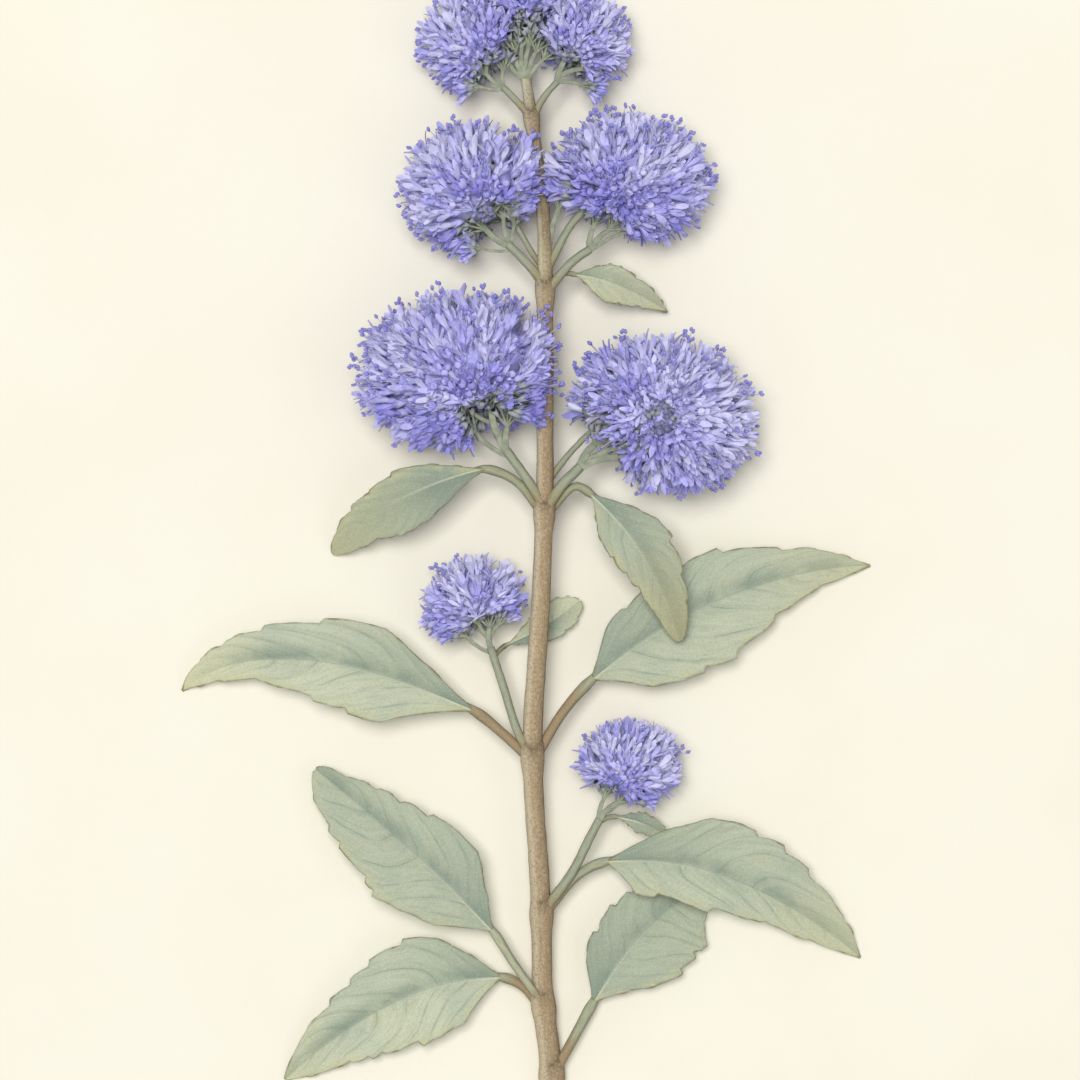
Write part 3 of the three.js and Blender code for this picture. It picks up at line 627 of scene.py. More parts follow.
# %% Leaf plans
LEAVES = [
    # The petiole goes from root over elbow to base, with the radius petiole and a skin. The blade
    # goes on to the tip. Its midrib is drawn toward a point bow to the left of its middle, shift
    # nearer the tip and crest high. Both halves rise by fold, and roll tilts them. A side's pairs
    # are a share of the midrib and the half width there, and blunt shapes the tip. The half named
    # by shaded gets painted shade. Beyond the share turns the leaf gets yellow and brown, and tone
    # deepens all of it.
    Plan(
        name="leaf_1_right", shaded="left", turns=0.9, yellow=0.2, brown=0.0, tone=0.4, skin="tan",
        root=(1.2, 9.2, 3.5), elbow=(5.8, 17.6, 4.4), base=(9.8, 24.8, 4.3), tip=(32.0, 47.4, 1.3),
        crest=3.6, bow=5.3, shift=5.5, blunt=0.6, fold=0.16, roll=0.04, petiole=1.0,
        left=[(0.14, 5.6), (0.28, 8.1), (0.44, 8.7), (0.55, 8.1), (0.68, 7.4), (0.84, 4.6)],
        right=[(0.24, 8.6), (0.42, 11.4), (0.59, 11.0), (0.77, 10.6), (0.86, 7.2)],
    ),
    Plan(
        name="leaf_2_left_low", shaded="right", turns=0.72, yellow=0.45, brown=0.1, tone=0.0, skin="tan",
        root=(-0.4, 23.0, 4.4), elbow=(-4.4, 28.0, 4.8), base=(-8.8, 29.9, 4.9), tip=(-52.6, 8.8, 0.7),
        crest=5.6, bow=-9.6, shift=-4.1, blunt=0.9, fold=0.24, roll=0.0, petiole=0.95,
        left=[(0.2, 8.2), (0.44, 10.3), (0.62, 8.4), (0.68, 7.9), (0.75, 6.4)],
        right=[(0.24, 9.4), (0.36, 11.3), (0.5, 10.0), (0.59, 8.2), (0.69, 6.9)],
    ),
    Plan(
        name="leaf_2_left_high", shaded="right", turns=0.9, yellow=0.2, brown=0.0, tone=0.26, skin="fading",
        root=(-0.3, 24.4, 6.0), elbow=(-6.5, 33.2, 7.4), base=(-10.5, 39.4, 8.2), tip=(-46.4, 71.8, 3.4),
        crest=10.6, bow=-2.1, shift=0.6, blunt=0.6, fold=0.22, roll=0.04, petiole=0.85,
        left=[(0.18, 7.2), (0.46, 11.9), (0.52, 10.9), (0.7, 9.2), (0.78, 7.8)],
        right=[(0.27, 9.2), (0.5, 8.5), (0.62, 6.6), (0.73, 5.4), (0.86, 3.2)],
    ),
    Plan(
        name="leaf_3_right", shaded="left", turns=0.65, yellow=0.5, brown=0.15, tone=0.16, skin="tan",
        root=(-0.6, 42.0, 6.6), elbow=(6.6, 50.6, 7.2), base=(12.4, 53.4, 8.2), tip=(63.9, 33.5, 0.7),
        crest=10.2, bow=11.6, shift=-4.7, blunt=1.15, fold=0.24, roll=0.05, petiole=0.95,
        left=[(0.36, 10.5), (0.5, 10.9), (0.6, 10.3), (0.7, 8.6), (0.87, 4.5)],
        right=[(0.12, 6.6), (0.2, 7.1), (0.44, 7.8), (0.65, 5.7), (0.82, 4.0)],
    ),
    Plan(
        name="leaf_4_left", shaded="right", turns=0.6, yellow=0.95, brown=0.0, tone=0.0, skin="brown",
        root=(-2.4, 73.4, 9.6), elbow=(-8.2, 78.9, 9.4), base=(-14.4, 83.8, 9.8), tip=(-73.4, 87.4, 0.7),
        crest=11.2, bow=-16.2, shift=13.2, blunt=1.15, fold=0.26, roll=-0.04, petiole=1.0,
        left=[(0.2, 8.8), (0.3, 9.2), (0.42, 8.1), (0.64, 4.3), (0.82, 2.4)],
        right=[(0.26, 9.4), (0.42, 8.6), (0.6, 6.6), (0.74, 4.9), (0.85, 3.4)],
    ),
    Plan(
        name="leaf_4_right", shaded="left", turns=0.6, yellow=0.4, brown=0.25, tone=0.16, skin="brown",
        root=(-2.4, 73.4, 9.8), elbow=(3.6, 83.4, 9.2), base=(9.5, 90.0, 8.6), tip=(65.9, 112.9, 0.9),
        crest=7.0, bow=10.4, shift=2.2, blunt=1.1, fold=0.16, roll=0.0, petiole=1.0,
        left=[(0.12, 6.4), (0.19, 7.8), (0.33, 9.8), (0.52, 9.9), (0.7, 6.3)],
        right=[(0.14, 8.9), (0.31, 11.9), (0.44, 12.1), (0.62, 8.1), (0.8, 3.6)],
    ),
    Plan(
        name="leaf_5_left", shaded="left", turns=0.25, yellow=0.6, brown=0.25, tone=0.72, skin="olive",
        root=(-0.2, 122.6, 13.4), elbow=(-5.6, 129.6, 13.6), base=(-12.0, 132.2, 13.6),
        tip=(-42.9, 115.0, 0.9),
        crest=13.0, bow=-5.9, shift=3.7, blunt=0.85, fold=0.3, roll=0.06, petiole=0.9,
        left=[(0.3, 5.7), (0.53, 6.5), (0.66, 4.7), (0.79, 3.6), (0.9, 2.3)],
        right=[(0.24, 4.1), (0.42, 5.6), (0.56, 4.8), (0.7, 4.1), (0.85, 2.8)],
    ),
    Plan(
        name="leaf_5_right", shaded="left", turns=0.35, yellow=0.25, brown=0.85, tone=0.4, skin="olive",
        root=(0.0, 122.6, 13.2), elbow=(6.0, 128.7, 13.6), base=(9.2, 127.2, 14.2), tip=(27.0, 97.6, 11.6),
        crest=17.0, bow=5.4, shift=-0.4, blunt=0.6, fold=0.24, roll=0.1, petiole=0.85,
        left=[(0.3, 5.6), (0.46, 6.8), (0.64, 5.4), (0.78, 4.0), (0.9, 2.5)],
        right=[(0.18, 4.4), (0.36, 5.7), (0.49, 5.4), (0.6, 4.5), (0.77, 3.5)],
    ),
    Plan(
        name="leaf_6_right", shaded="left", turns=0.0, yellow=0.5, brown=0.15, tone=0.0, skin="pale",
        root=(3.2, 171.2, 14.0), elbow=(4.6, 171.4, 12.9), base=(6.0, 171.2, 12.2), tip=(24.8, 164.0, 2.6),
        crest=11.0, bow=2.5, shift=-2.0, blunt=1.15, fold=0.2, roll=0.0, petiole=0.5,
        left=[(0.34, 3.4), (0.6, 3.0), (0.8, 2.2)],
        right=[(0.3, 3.6), (0.52, 3.8), (0.72, 2.4)],
    ),
    Plan(
        name="bract_3_right", shaded="left", turns=0.5, yellow=0.3, brown=0.1, tone=0.5, skin="pale",
        root=(10.4, 61.0, 9.5), elbow=(12.6, 62.2, 7.6), base=(14.4, 62.3, 6.6), tip=(25.4, 57.8, 4.4),
        crest=6.2, bow=1.6, shift=0.0, blunt=0.8, fold=0.14, roll=0.0, petiole=0.5,
        left=[(0.3, 1.6), (0.52, 1.9), (0.74, 1.4)],
        right=[(0.3, 1.6), (0.52, 1.9), (0.74, 1.4)],
    ),
    Plan(
        name="bract_4_left", shaded="right", turns=0.5, yellow=0.5, brown=0.0, tone=0.0, skin="pale",
        root=(-10.2, 94.6, 10.2), elbow=(-9.2, 95.8, 7.4), base=(-7.8, 96.8, 5.0), tip=(6.9, 105.8, 3.0),
        crest=3.2, bow=-1.6, shift=1.5, blunt=0.55, fold=0.1, roll=0.0, petiole=0.5,
        left=[(0.36, 3.0), (0.62, 3.9), (0.82, 3.1)],
        right=[(0.36, 2.6), (0.62, 3.3), (0.82, 2.7)],
    ),
]
print("leaf plans", len(LEAVES))

# %% [markdown]
# A blade is a flat grid that is pulled to the leaf's shape. The grid gets extra rows at every
# tooth, so that the cut behind it is sharp: the teeth are in the mesh because they are the leaf's
# true outline. They fade out toward the midrib.

# %% Outline of a blade
TOOTH_DEPTH = 1.3
TOOTH_SHARE = 0.14
TOOTH_SWELL = 0.35
TOOTH_FADE = 4
NOTCH_LENGTH = 0.014
LEAST_REACH = 0.12
BLADE_ROWS = 130
CLOSEST_ROWS = 0.0016
FIRST_SHARE = 0.002


def half_width(t, teeth, blunt, depth=TOOTH_DEPTH):
    """Half width of one side of a blade at the share t of its midrib."""
    ahead = next((k for k, (share, _) in enumerate(teeth) if t <= share), None)
    if ahead == 0:
        return teeth[0][1] * (t / teeth[0][0])
    start, width = teeth[-1 if ahead is None else ahead - 1]
    cut = 0 if ahead == 1 else min(depth, TOOTH_SHARE * width)
    kept = width - cut * min((t - start) / NOTCH_LENGTH, 1)
    if ahead is None:
        return kept * max(math.cos(math.pi / 2 * (t - start) / (1 - start)), 0) ** blunt
    end, following = teeth[ahead]
    share = (t - start) / (end - start)
    return kept + (following - kept) * share + TOOTH_SWELL * math.sin(math.pi * share)


def reach_at(leaf, u, t):
    """How far the margin is from the midrib, for the column u: the teeth fade out inward."""
    teeth = leaf.left if u > 0 else leaf.right
    plain = half_width(t, teeth, leaf.blunt, depth=0)
    toothed = half_width(t, teeth, leaf.blunt)
    return max(plain + (toothed - plain) * abs(u) ** TOOTH_FADE, LEAST_REACH)


def blade_rows(leaf):
    """Shares of the midrib where the blade has a row of points: even ones, and all the teeth."""
    shares = [FIRST_SHARE + (1 - 2 * FIRST_SHARE) * k / BLADE_ROWS for k in range(BLADE_ROWS + 1)]
    teeth = [share for share, _ in leaf.left + leaf.right]
    wanted = sorted(teeth + [share + NOTCH_LENGTH for share in teeth])
    clear = [s for s in shares if all(abs(s - w) > CLOSEST_ROWS for w in wanted)]
    rows = []
    for share in sorted(clear + wanted):
        if not rows or share - rows[-1] > CLOSEST_ROWS / 2:
            rows.append(share)
    return rows


print("rows of a blade", [len(blade_rows(leaf)) for leaf in LEAVES])

# %% [markdown]
# The two halves rise from the midrib like a shallow trough, and the skin swells between sunken
# side veins. Each point also stores what the finish has to know there, such as which vein it is
# near and how far it is from the margin.

# %% Surface of a blade
BLADE_COLUMNS = 26
VEINS = 7
VEIN_SLANT = 0.15
VEIN_WANDER = 0.3
VEIN_WAVES = 11
VEIN_DEPTH = 0.09
VEIN_WIDTH = 0.12
PUFF = 0.3
FULL_REACH = 6
SHADE_EDGE = 8
TURNED_BY = 1.02


def midrib(leaf, t):
    """A point of the midrib and its direction there."""
    base, tip = Vector(leaf.base), Vector(leaf.tip)
    along = tip - base
    along.z = 0
    along.normalize()
    control = (base + tip) / 2 + UP.cross(along) * leaf.bow + along * leaf.shift
    control.z = leaf.crest
    point = (1 - t) ** 2 * base + 2 * t * (1 - t) * control + t * t * tip
    direction = (2 * (1 - t) * (control - base) + 2 * t * (tip - control)).normalized()
    return point, direction


def vein_place(u, t):
    """Which side vein the point is on, as a number that is whole on a vein."""
    phase = 2 if u > 0 else 5
    wander = VEIN_WANDER * min(3 * abs(u), 1) * math.sin(VEIN_WAVES * t + phase)
    return VEINS * (t - VEIN_SLANT * (abs(u) + u * u)) + wander


def blade_point(leaf, u, t):
    """Where the blade's grid point (u, t) lies, in millimetres."""
    point, direction = midrib(leaf, t)
    left = UP.cross(direction).normalized()
    over = direction.cross(left)
    reach = reach_at(leaf, u, t)
    fullness = min(reach / FULL_REACH, 1)
    vein = vein_place(u, t)
    phase = 1.3 if u > 0 else 4.0
    sink = bell(vein - round(vein), VEIN_WIDTH) * (1 - abs(u))
    lift = reach * (abs(u) * leaf.fold + u * leaf.roll)
    lift += fullness * PUFF * math.sin(math.pi * abs(u))
    lift += fullness * PUFF * u * u * math.sin(2 * math.pi * vein + phase)
    return point + left * u * reach + over * (lift - fullness * VEIN_DEPTH * sink)


def stored_numbers(leaf, u, t):
    """What the finish needs to know of a point of the blade."""
    # Which half of the blade gets the painted shade.
    toward_shade = u if leaf.shaded == "left" else -u
    reach = reach_at(leaf, u, t)
    turned = min(max((t - leaf.turns) / (TURNED_BY - leaf.turns), 0), 1) ** 0.9
    return {
        "along": t,
        "vein": vein_place(u, t),
        "from_midrib": abs(u) * reach,
        "from_margin": (1 - abs(u)) * reach,
        "shaded": min(max(0.5 + SHADE_EDGE * toward_shade, 0), 1),
        "yellow": leaf.yellow * turned,
        "brown": leaf.brown * turned,
        "tone": leaf.tone,
    }


def blade_mesh(leaf):
    rows = blade_rows(leaf)
    bm = bmesh.new()
    bmesh.ops.create_grid(bm, x_segments=BLADE_COLUMNS, y_segments=len(rows) - 1, size=1.0)
    numbers = []
    for vertex in bm.verts:
        u, t = vertex.co.x, rows[round((vertex.co.y + 1) / 2 * (len(rows) - 1))]
        numbers.append(stored_numbers(leaf, u, t))
        vertex.co = blade_point(leaf, u, t)
    bmesh.ops.recalc_face_normals(bm, faces=bm.faces)
    if sum(f.normal.z for f in bm.faces) < 0:
        bmesh.ops.reverse_faces(bm, faces=bm.faces)
    mesh = bpy.data.meshes.new("blade")
    bm.to_mesh(mesh)
    bm.free()
    for name in numbers[0]:
        store(mesh, name, [point[name] for point in numbers])
    return mesh


print("midribs start", [tuple(round(v, 1) for v in midrib(leaf, 0)[0]) for leaf in LEAVES[:3]])

# %% [markdown]
# One half of each blade is painted as if in soft shade, bluer, and darkest near the base and
# beside the midrib. The other is painted lit, lighter and greener, with a thin pale painted
# highlight along the midrib and a worn yellowish band inside its margin. Faint veins run forward,
# each in a soft halo of painted shade, with finer streaks between them, and the margin has a thin
# brownish line. The tips turn yellow or brown, and fine down covers all of it. The underside is
# paler and more felted.

# %% Leaf finishes


class LeafFinish(Finish):
    """One side of a leaf: a half painted lit and a half painted in shade, and a deep tint for its painted
    shade and veins.
    """

    def __init__(self, name, light, dark, deep):
        super().__init__(name, 0.8, light)
        self.dark, self.deep = dark, deep
        self.along, self.vein = self.stored("along"), self.stored("vein")
        self.from_midrib, self.from_margin = self.stored("from_midrib"), self.stored("from_margin")
        self.shaded = self.stored("shaded")
        self.lit = self.math("SUBTRACT", 1.0, self.shaded)
        self.mostly_shaded = self.math("ADD", self.times(self.shaded, 0.85), 0.15)

    def ground(self):
        """The painted shade of one half, bluish and yellowish patches, and painted shade near the base."""
        # Painted shade on the shaded half.
        self.lay(self.dark, self.times(self.shaded, 0.55))
        self.lay_where("A9B6A7", self.cloud(11.0), 0.45, 0.7, 0.0, 0.45)
        self.lay_where("CBCCAC", self.cloud(8.0, scale=(1.0, 1.3, 1.0)), 0.5, 0.72, 0.0, 0.4)
        self.lay(self.deep, self.stored("tone"))
        # Painted shade near the base, mostly on the shaded half.
        near_base = self.step(self.along, 0.0, 0.5, 0.6, 0.0)
        self.lay(self.deep, self.times(near_base, self.mostly_shaded))
        self.lay_where("A9AE93", self.along, 0.0, 0.07, 0.8, 0.0)

    def streaks(self, to_a_vein, size, detail, low, high, strength):
        """Streaks that run with the veins, so many to a vein."""
        across = self.times(self.from_midrib, 0.3)
        streaks = self.noise_over(self.pair(across, self.times(self.vein, to_a_vein)), size, detail)
        self.lay_where(self.deep, streaks, low, high, 0.0, strength)

    def side_veins(self):
        """A thin vein line in a soft halo of painted shade, stronger in some places than in others."""
        off_vein = self.math("SUBTRACT", self.vein, self.math("ROUND", self.vein))
        off_vein = self.math("ABSOLUTE", off_vein)
        patches = self.step(self.cloud(5.0, 2.0), 0.35, 0.65, 0.25, 1.0)
        seen = self.times(patches, self.step(self.from_margin, 0.0, 2.5))
        # A soft halo of painted shade beside each vein, then the vein's own thin dark line.
        self.lay(self.deep, self.times(self.step(off_vein, 0.0, 0.2, 0.25, 0.0), seen))
        self.lay(self.deep, self.times(self.step(off_vein, 0.0, 0.045, 0.7, 0.0), seen))

    def beside_midrib(self):
        """Patchy painted shade along the midrib, a painted pale highlight line on the lit half and a dark
        one on the other.
        """
        # Painted shade beside the midrib, a painted highlight line on the lit half and a painted dark line
        # on the shaded half.
        patches = self.step(self.cloud(7.0, 2.0), 0.35, 0.6, 0.35, 1.0)
        beside = self.step(self.from_midrib, 0.0, 4.0, 0.85, 0.0)
        self.lay(self.deep, self.times(beside, self.mostly_shaded, patches))
        pale = self.step(self.from_midrib, 0.05, 0.45, 0.85, 0.0)
        self.lay("DCDDC6", self.times(pale, self.lit, self.step(self.along, 0.3, 0.6, 1.0, 0.1)))
        line = self.step(self.from_midrib, 0.0, 0.45, 0.8, 0.0)
        self.lay("7C8A7D", self.times(line, self.shaded))

    def margin(self):
        """A band inside the lit margin and a thin line on it, both worn in places."""
        worn = self.step(self.cloud(2.5), 0.4, 0.65, 0.15, 0.95)
        band = self.step(self.from_margin, 0.3, 2.6, 0.65, 0.0)
        self.lay("C2C298", self.times(band, self.lit, worn))
        self.lay("8B8460", self.times(self.step(self.from_margin, 0.05, 0.42, 1.0, 0.0), worn))

    def felt(self, height):
        down = self.cloud(0.32, 2.0)
        self.lay_where(self.deep, down, 0.5, 0.72, 0.0, 0.34)
        self.lay_where("D9DCC8", down, 0.46, 0.3, 0.0, 0.22)
        self.relief(self.times(down, height), 0.07)


def leaf_side(name, light, dark, deep, felt_height):
    side = LeafFinish(name, light, dark, deep)
    side.ground()
    side.streaks(5.0, 1.0, 3.0, 0.42, 0.7, 0.24)
    side.streaks(16.0, 0.8, 2.0, 0.52, 0.72, 0.14)
    side.side_veins()
    side.beside_midrib()
    side.lay("DAD9B2", side.stored("yellow"))
    side.lay("A19E78", side.stored("brown"))
    side.margin()
    side.felt(felt_height)
    return side.finished()


leaf_sides = [
    leaf_side("sage_leaf", "C7CCB2", "B9C1AD", "849384", 0.8),
    leaf_side("felted_underside", "CDD3C0", "BFC7B5", "A3AE9D", 1.5),
]
print("leaf sides", [side.name for side in leaf_sides])

# %% [markdown]
# A petiole starts in the stem's joint, brown or tan, and turns green toward the blade, some sooner
# than others, so there are five skins. It swells slightly where the blade starts and runs on
# under it as the midrib, thinner and thinner. Solidify gives the blade its thickness and a
# material of its own for the underside.

# %% Petioles and leaves
BLADE_THICKNESS = 0.32
PETIOLE_STEPS = 70
PETIOLE_SHARE = 0.31
PETIOLE_SWELLING = 0.14
SWELLING_LENGTH = 0.07
PETIOLE_DROP = 0.85
BELOW_BLADE = 0.3
MIDRIB_SHARES = (0.12, 0.3, 0.6, 0.9)
MIDRIB_END_RADIUS = 0.14

petiole_skins = {
    "brown": shoot_finish("brown_petiole", "A28A6B", "A6AA8E", 14.0, 21.0),
    "tan": shoot_finish("tan_petiole", "A28A6B", "A6AC91", 7.0, 13.0),
    "olive": shoot_finish("olive_petiole", "9C9070", "A2A689", 2.0, 9.0),
    "fading": shoot_finish("fading_petiole", "A48E70", "B3B79C", 1.5, 7.0),
    "pale": shoot_finish("pale_petiole", "A39A78", "B3B79C", 0.5, 4.0),
}


def petiole_radius(thick):
    """Swollen where the blade starts, and then thinner and thinner under its midrib."""
    def radius(u):
        under = max(u - PETIOLE_SHARE, 0) / (1 - PETIOLE_SHARE)
        swelling = PETIOLE_SWELLING * bell(u - PETIOLE_SHARE, SWELLING_LENGTH)
        return (thick + (MIDRIB_END_RADIUS - thick) * under ** 0.5) * (1 + swelling)
    return radius


def petiole_route(leaf):
    radius = petiole_radius(leaf.petiole)
    route = [leaf.root, leaf.elbow, Vector(leaf.base) - UP * leaf.petiole * PETIOLE_DROP]
    for k, share in enumerate(MIDRIB_SHARES, start=3):
        depth = radius(k / (len(MIDRIB_SHARES) + 2)) + BELOW_BLADE
        route.append(midrib(leaf, share)[0] - UP * depth)
    return route


def build_leaf(leaf):
    blade = finish_piece(leaf.name, "blade", blade_mesh(leaf), leaf_sides)
    wall = blade.modifiers.new("thickness", "SOLIDIFY")
    wall.thickness = BLADE_THICKNESS * MM
    wall.offset = -1.0
    wall.material_offset = 1
    route = petiole_route(leaf)
    petiole = limb_mesh(route, petiole_radius(leaf.petiole), PETIOLE_STEPS)
    mark_limb(petiole, route)
    finish_piece(leaf.name, "petiole", petiole, [petiole_skins[leaf.skin]])


for leaf in LEAVES:
    build_leaf(leaf)
print("leaves", len(LEAVES))

# %% [markdown]
# ## Flowers
#
# One flower is a small tube that opens into five blunt lobes, in a toothed cup, and some have
# long stamens that stand out of it. A head holds some 150 to 600 flowers, so each part is
# modelled once, with few faces, and dealt out many times as one joined mesh.

# %% Joined meshes
LOWEST = 0.12


class Template:
    """A small shape kept as arrays, ready to be copied many times."""

    def __init__(self, bm):
        bmesh.ops.triangulate(bm, faces=bm.faces)
        bm.verts.index_update()
        self.points = np.array([v.co[:] for v in bm.verts])
        self.faces = np.array([[v.index for v in f.verts] for f in bm.faces])
        self.marks = np.array([f.material_index for f in bm.faces])
        bm.free()


class Gathering:
    """Copies of templates, gathered into one mesh."""

    def __init__(self):
        self.points, self.faces, self.marks, self.count = [], [], [], 0

    def add(self, template, matrix=Matrix.Identity(4), mark=0):
        moved = template.points @ np.array(matrix.to_3x3()).T + np.array(matrix.translation)
        self.points.append(moved)
        self.faces.append(template.faces + self.count)
        self.marks.append(template.marks + mark)
        self.count += len(moved)

    def mesh(self):
        """The joined mesh. Nothing goes below the table: what would is pressed flat on it."""
        points = np.concatenate(self.points)
        points[:, 2] = np.maximum(points[:, 2], LOWEST)
        mesh = bpy.data.meshes.new("gathering")
        mesh.from_pydata(points.tolist(), [], np.concatenate(self.faces).tolist())
        marks = np.concatenate(self.marks).astype(np.int32)
        mesh.polygons.foreach_set("material_index", marks)
        mesh.update()
        return mesh


def mark_faces(verts, mark):
    """Gives every face round these points the material of this number."""
    for face in {f for v in verts for f in v.link_faces}:
        face.material_index = mark


def thread(bm, points, radii, sides=3):
    """A thin tube through the points, closed at its tip."""
    ring = bmesh.ops.create_circle(bm, segments=sides, radius=radii[0])["verts"]
    bmesh.ops.translate(bm, verts=ring, vec=points[0])
    edges = list({e for v in ring for e in v.link_edges if all(w in ring for w in e.verts)})
    for here, there, r0, r1 in zip(points, points[1:], radii, radii[1:]):
        grown = bmesh.ops.extrude_edge_only(bm, edges=edges)["geom"]
        verts = [g for g in grown if isinstance(g, bmesh.types.BMVert)]
        edges = [g for g in grown if isinstance(g, bmesh.types.BMEdge)]
        bmesh.ops.translate(bm, verts=verts, vec=Vector(there) - Vector(here))
        pivot = Matrix.Translation(-Vector(there))
        bmesh.ops.scale(bm, verts=verts, vec=(r1 / r0,) * 3, space=pivot)
    bmesh.ops.edgeloop_fill(bm, edges=edges)


# %% [markdown]
# A lobe starts as a small grid, which is bent outward from the mouth of the tube and cupped. The
# lowest of the five is larger, as on the real flower, where it is a fringed lip. Marks tell the
# parts of a petal apart, so that its tip and its tube can be deeper in colour than its middle.
# Young flowers are shorter and broader, and their lobes curl inward.

# %% Petals
TUBE_LENGTH = 2.6
TUBE_FOOT_RADIUS = 0.34
TUBE_RIM = 0.08
MOUTH_RADIUS = 0.55
LOBES = 5
LOBE_LENGTH = 3.2
LOBE_HALF_WIDTH = 0.56
LOBE_ROWS = 5
LOBE_CUPPING = 0.3
LIP_SIZE = 1.28
LIP_LEAN = 8
TIP_FROM = 0.2
TIP_MARK = 1
TUBE_MARK = 2


def lobe_outline(s):
    """Share of its half width that a lobe has at the share s of its length: blunt at the tip."""
    return min(1.0, 0.42 + s) * (1 - 0.6 * s ** 6)


def add_lobe(bm, turn, length, half_width_mm, lean_first, lean_last):
    """One lobe, from the mouth of the tube, leaning from the flower's axis by two angles."""
    made = bmesh.ops.create_grid(bm, x_segments=2, y_segments=LOBE_ROWS, size=1.0)["verts"]
    for face in {f for v in made for f in v.link_faces}:
        if face.calc_center_median().y > TIP_FROM:
            face.material_index = TIP_MARK
    for vertex in made:
        w, s = vertex.co.x, (vertex.co.y + 1) / 2
        lean = lean_first + (lean_last - lean_first) * s / 2
        cup_depth = LOBE_CUPPING * w * w * half_width_mm
        out = MOUTH_RADIUS + s * length * math.sin(lean) - cup_depth * math.cos(lean)
        up = TUBE_LENGTH + s * length * math.cos(lean) + cup_depth * math.sin(lean)
        vertex.co = (out, w * half_width_mm * lobe_outline(s), up)
    bmesh.ops.rotate(bm, verts=made, cent=(0, 0, 0), matrix=Matrix.Rotation(turn, 3, "Z"))


def corolla(lean_first, lean_last, size=1.0, breadth=1.0):
    bm = bmesh.new()
    tube = bmesh.ops.create_cone(
        bm, segments=6, radius1=TUBE_FOOT_RADIUS, radius2=MOUTH_RADIUS + TUBE_RIM, depth=TUBE_LENGTH,
        matrix=Matrix.Translation((0, 0, TUBE_LENGTH / 2)),
    )["verts"]
    mark_faces(tube, TUBE_MARK)
    for k in range(LOBES):
        share, lip_lean = (LIP_SIZE, LIP_LEAN) if k == 0 else (1.0, 0)
        add_lobe(
            bm, 2 * math.pi * k / LOBES, LOBE_LENGTH * share * size,
            LOBE_HALF_WIDTH * share * size * breadth,
            math.radians(lean_first), math.radians(lean_last + lip_lean),
        )
    return Template(bm)


COROLLAS = [corolla(*look) for look in (
    (10, 26), (14, 34), (18, 42), (8, 20, 0.9), (6, 14, 0.85), (12, 38), (16, 30, 0.92), (22, 56, 0.95),
)]
YOUNG_COROLLAS = [corolla(*look) for look in (
    (46, -46, 0.62, 1.9), (56, -30, 0.55, 1.9), (60, -60, 0.7, 1.8),
)]
print("petals", [len(c.faces) for c in COROLLAS + YOUNG_COROLLAS])

# %% [markdown]
# Stamens are threads that arch out of the mouth and end in an anther of two halves. They give the
# head its soft outline, with dots beyond the petals.

# %% Stamens
STAMEN_REACH = 8.6
STAMEN_ROOT = 2.2
FILAMENT_RADII = [0.11, 0.1, 0.09, 0.09]
ANTHER_RADIUS = 0.36
ANTHER_LENGTH = 1.4
ANTHER_MARK = 1


def add_anther(bm, tip, way):
    for side in (-1, 1):
        half = bmesh.ops.create_icosphere(bm, subdivisions=1, radius=ANTHER_RADIUS)["verts"]
        bmesh.ops.scale(bm, verts=half, vec=(1, 1, ANTHER_LENGTH))
        apart = Vector((-way.y, way.x, 0)) * ANTHER_RADIUS * 0.75 * side
        bmesh.ops.translate(bm, verts=half, vec=tip + apart + UP * 0.12 * side)
        mark_faces(half, ANTHER_MARK)


def stamens(spread, count):
    bm = bmesh.new()
    for k in range(count):
        turn = 2 * math.pi * (k + 0.35) / count
        way = Vector((math.cos(turn), math.sin(turn), 0))
        reach = STAMEN_REACH * (0.84 + 0.16 * ((k * 7) % 4) / 3)
        points = [
            way * 0.3 + UP * STAMEN_ROOT,
            way * (0.3 + 0.2 * spread) + UP * (0.5 * reach),
            way * (0.35 + 0.6 * spread) + UP * (0.8 * reach),
            way * (0.4 + 1.1 * spread) + UP * reach,
        ]
        thread(bm, points, FILAMENT_RADII)
        add_anther(bm, points[-1], way)
    return Template(bm)


STAMEN_SETS = [stamens(0.2, 2), stamens(0.6, 2), stamens(0.9, 3), stamens(0.5, 3)]
print("stamens", [len(s.faces) for s in STAMEN_SETS])

# %% [markdown]
# The cup is a cone with every other point of its rim drawn up, which makes five teeth. A bud is a
# rounded knob in the same cup.

# %% Cups and buds
CUP_FOOT_RADIUS = 0.3
CUP_RADIUS = 0.85
CUP_DEPTH = 1.9
CUP_MIDDLE = 0.6
CUP_TEETH = 5
TOOTH_RISE = 0.75
TOOTH_FLARE = 0.12
BUD_RADIUS = 0.78
BUD_LENGTH = 1.5
BUD_MIDDLE = 2.1
BUD_MARK = 1


def cup(closed):
    bm = bmesh.new()
    rim = bmesh.ops.create_cone(
        bm, cap_ends=True, segments=2 * CUP_TEETH, radius1=CUP_FOOT_RADIUS, radius2=CUP_RADIUS,
        depth=CUP_DEPTH, matrix=Matrix.Translation((0, 0, CUP_MIDDLE)),
    )["verts"]
    for vertex in [v for v in rim if v.co.z > CUP_MIDDLE]:
        angle = math.atan2(vertex.co.y, vertex.co.x)
        if math.cos(CUP_TEETH * angle) > 0:
            vertex.co += Vector((vertex.co.x * TOOTH_FLARE, vertex.co.y * TOOTH_FLARE, TOOTH_RISE))
    if closed:
        bud = bmesh.ops.create_uvsphere(bm, u_segments=6, v_segments=4, radius=BUD_RADIUS)["verts"]
        bmesh.ops.scale(bm, verts=bud, vec=(1, 1, BUD_LENGTH))
        bmesh.ops.translate(bm, verts=bud, vec=(0, 0, BUD_MIDDLE))
        mark_faces(bud, BUD_MARK)
    return Template(bm)


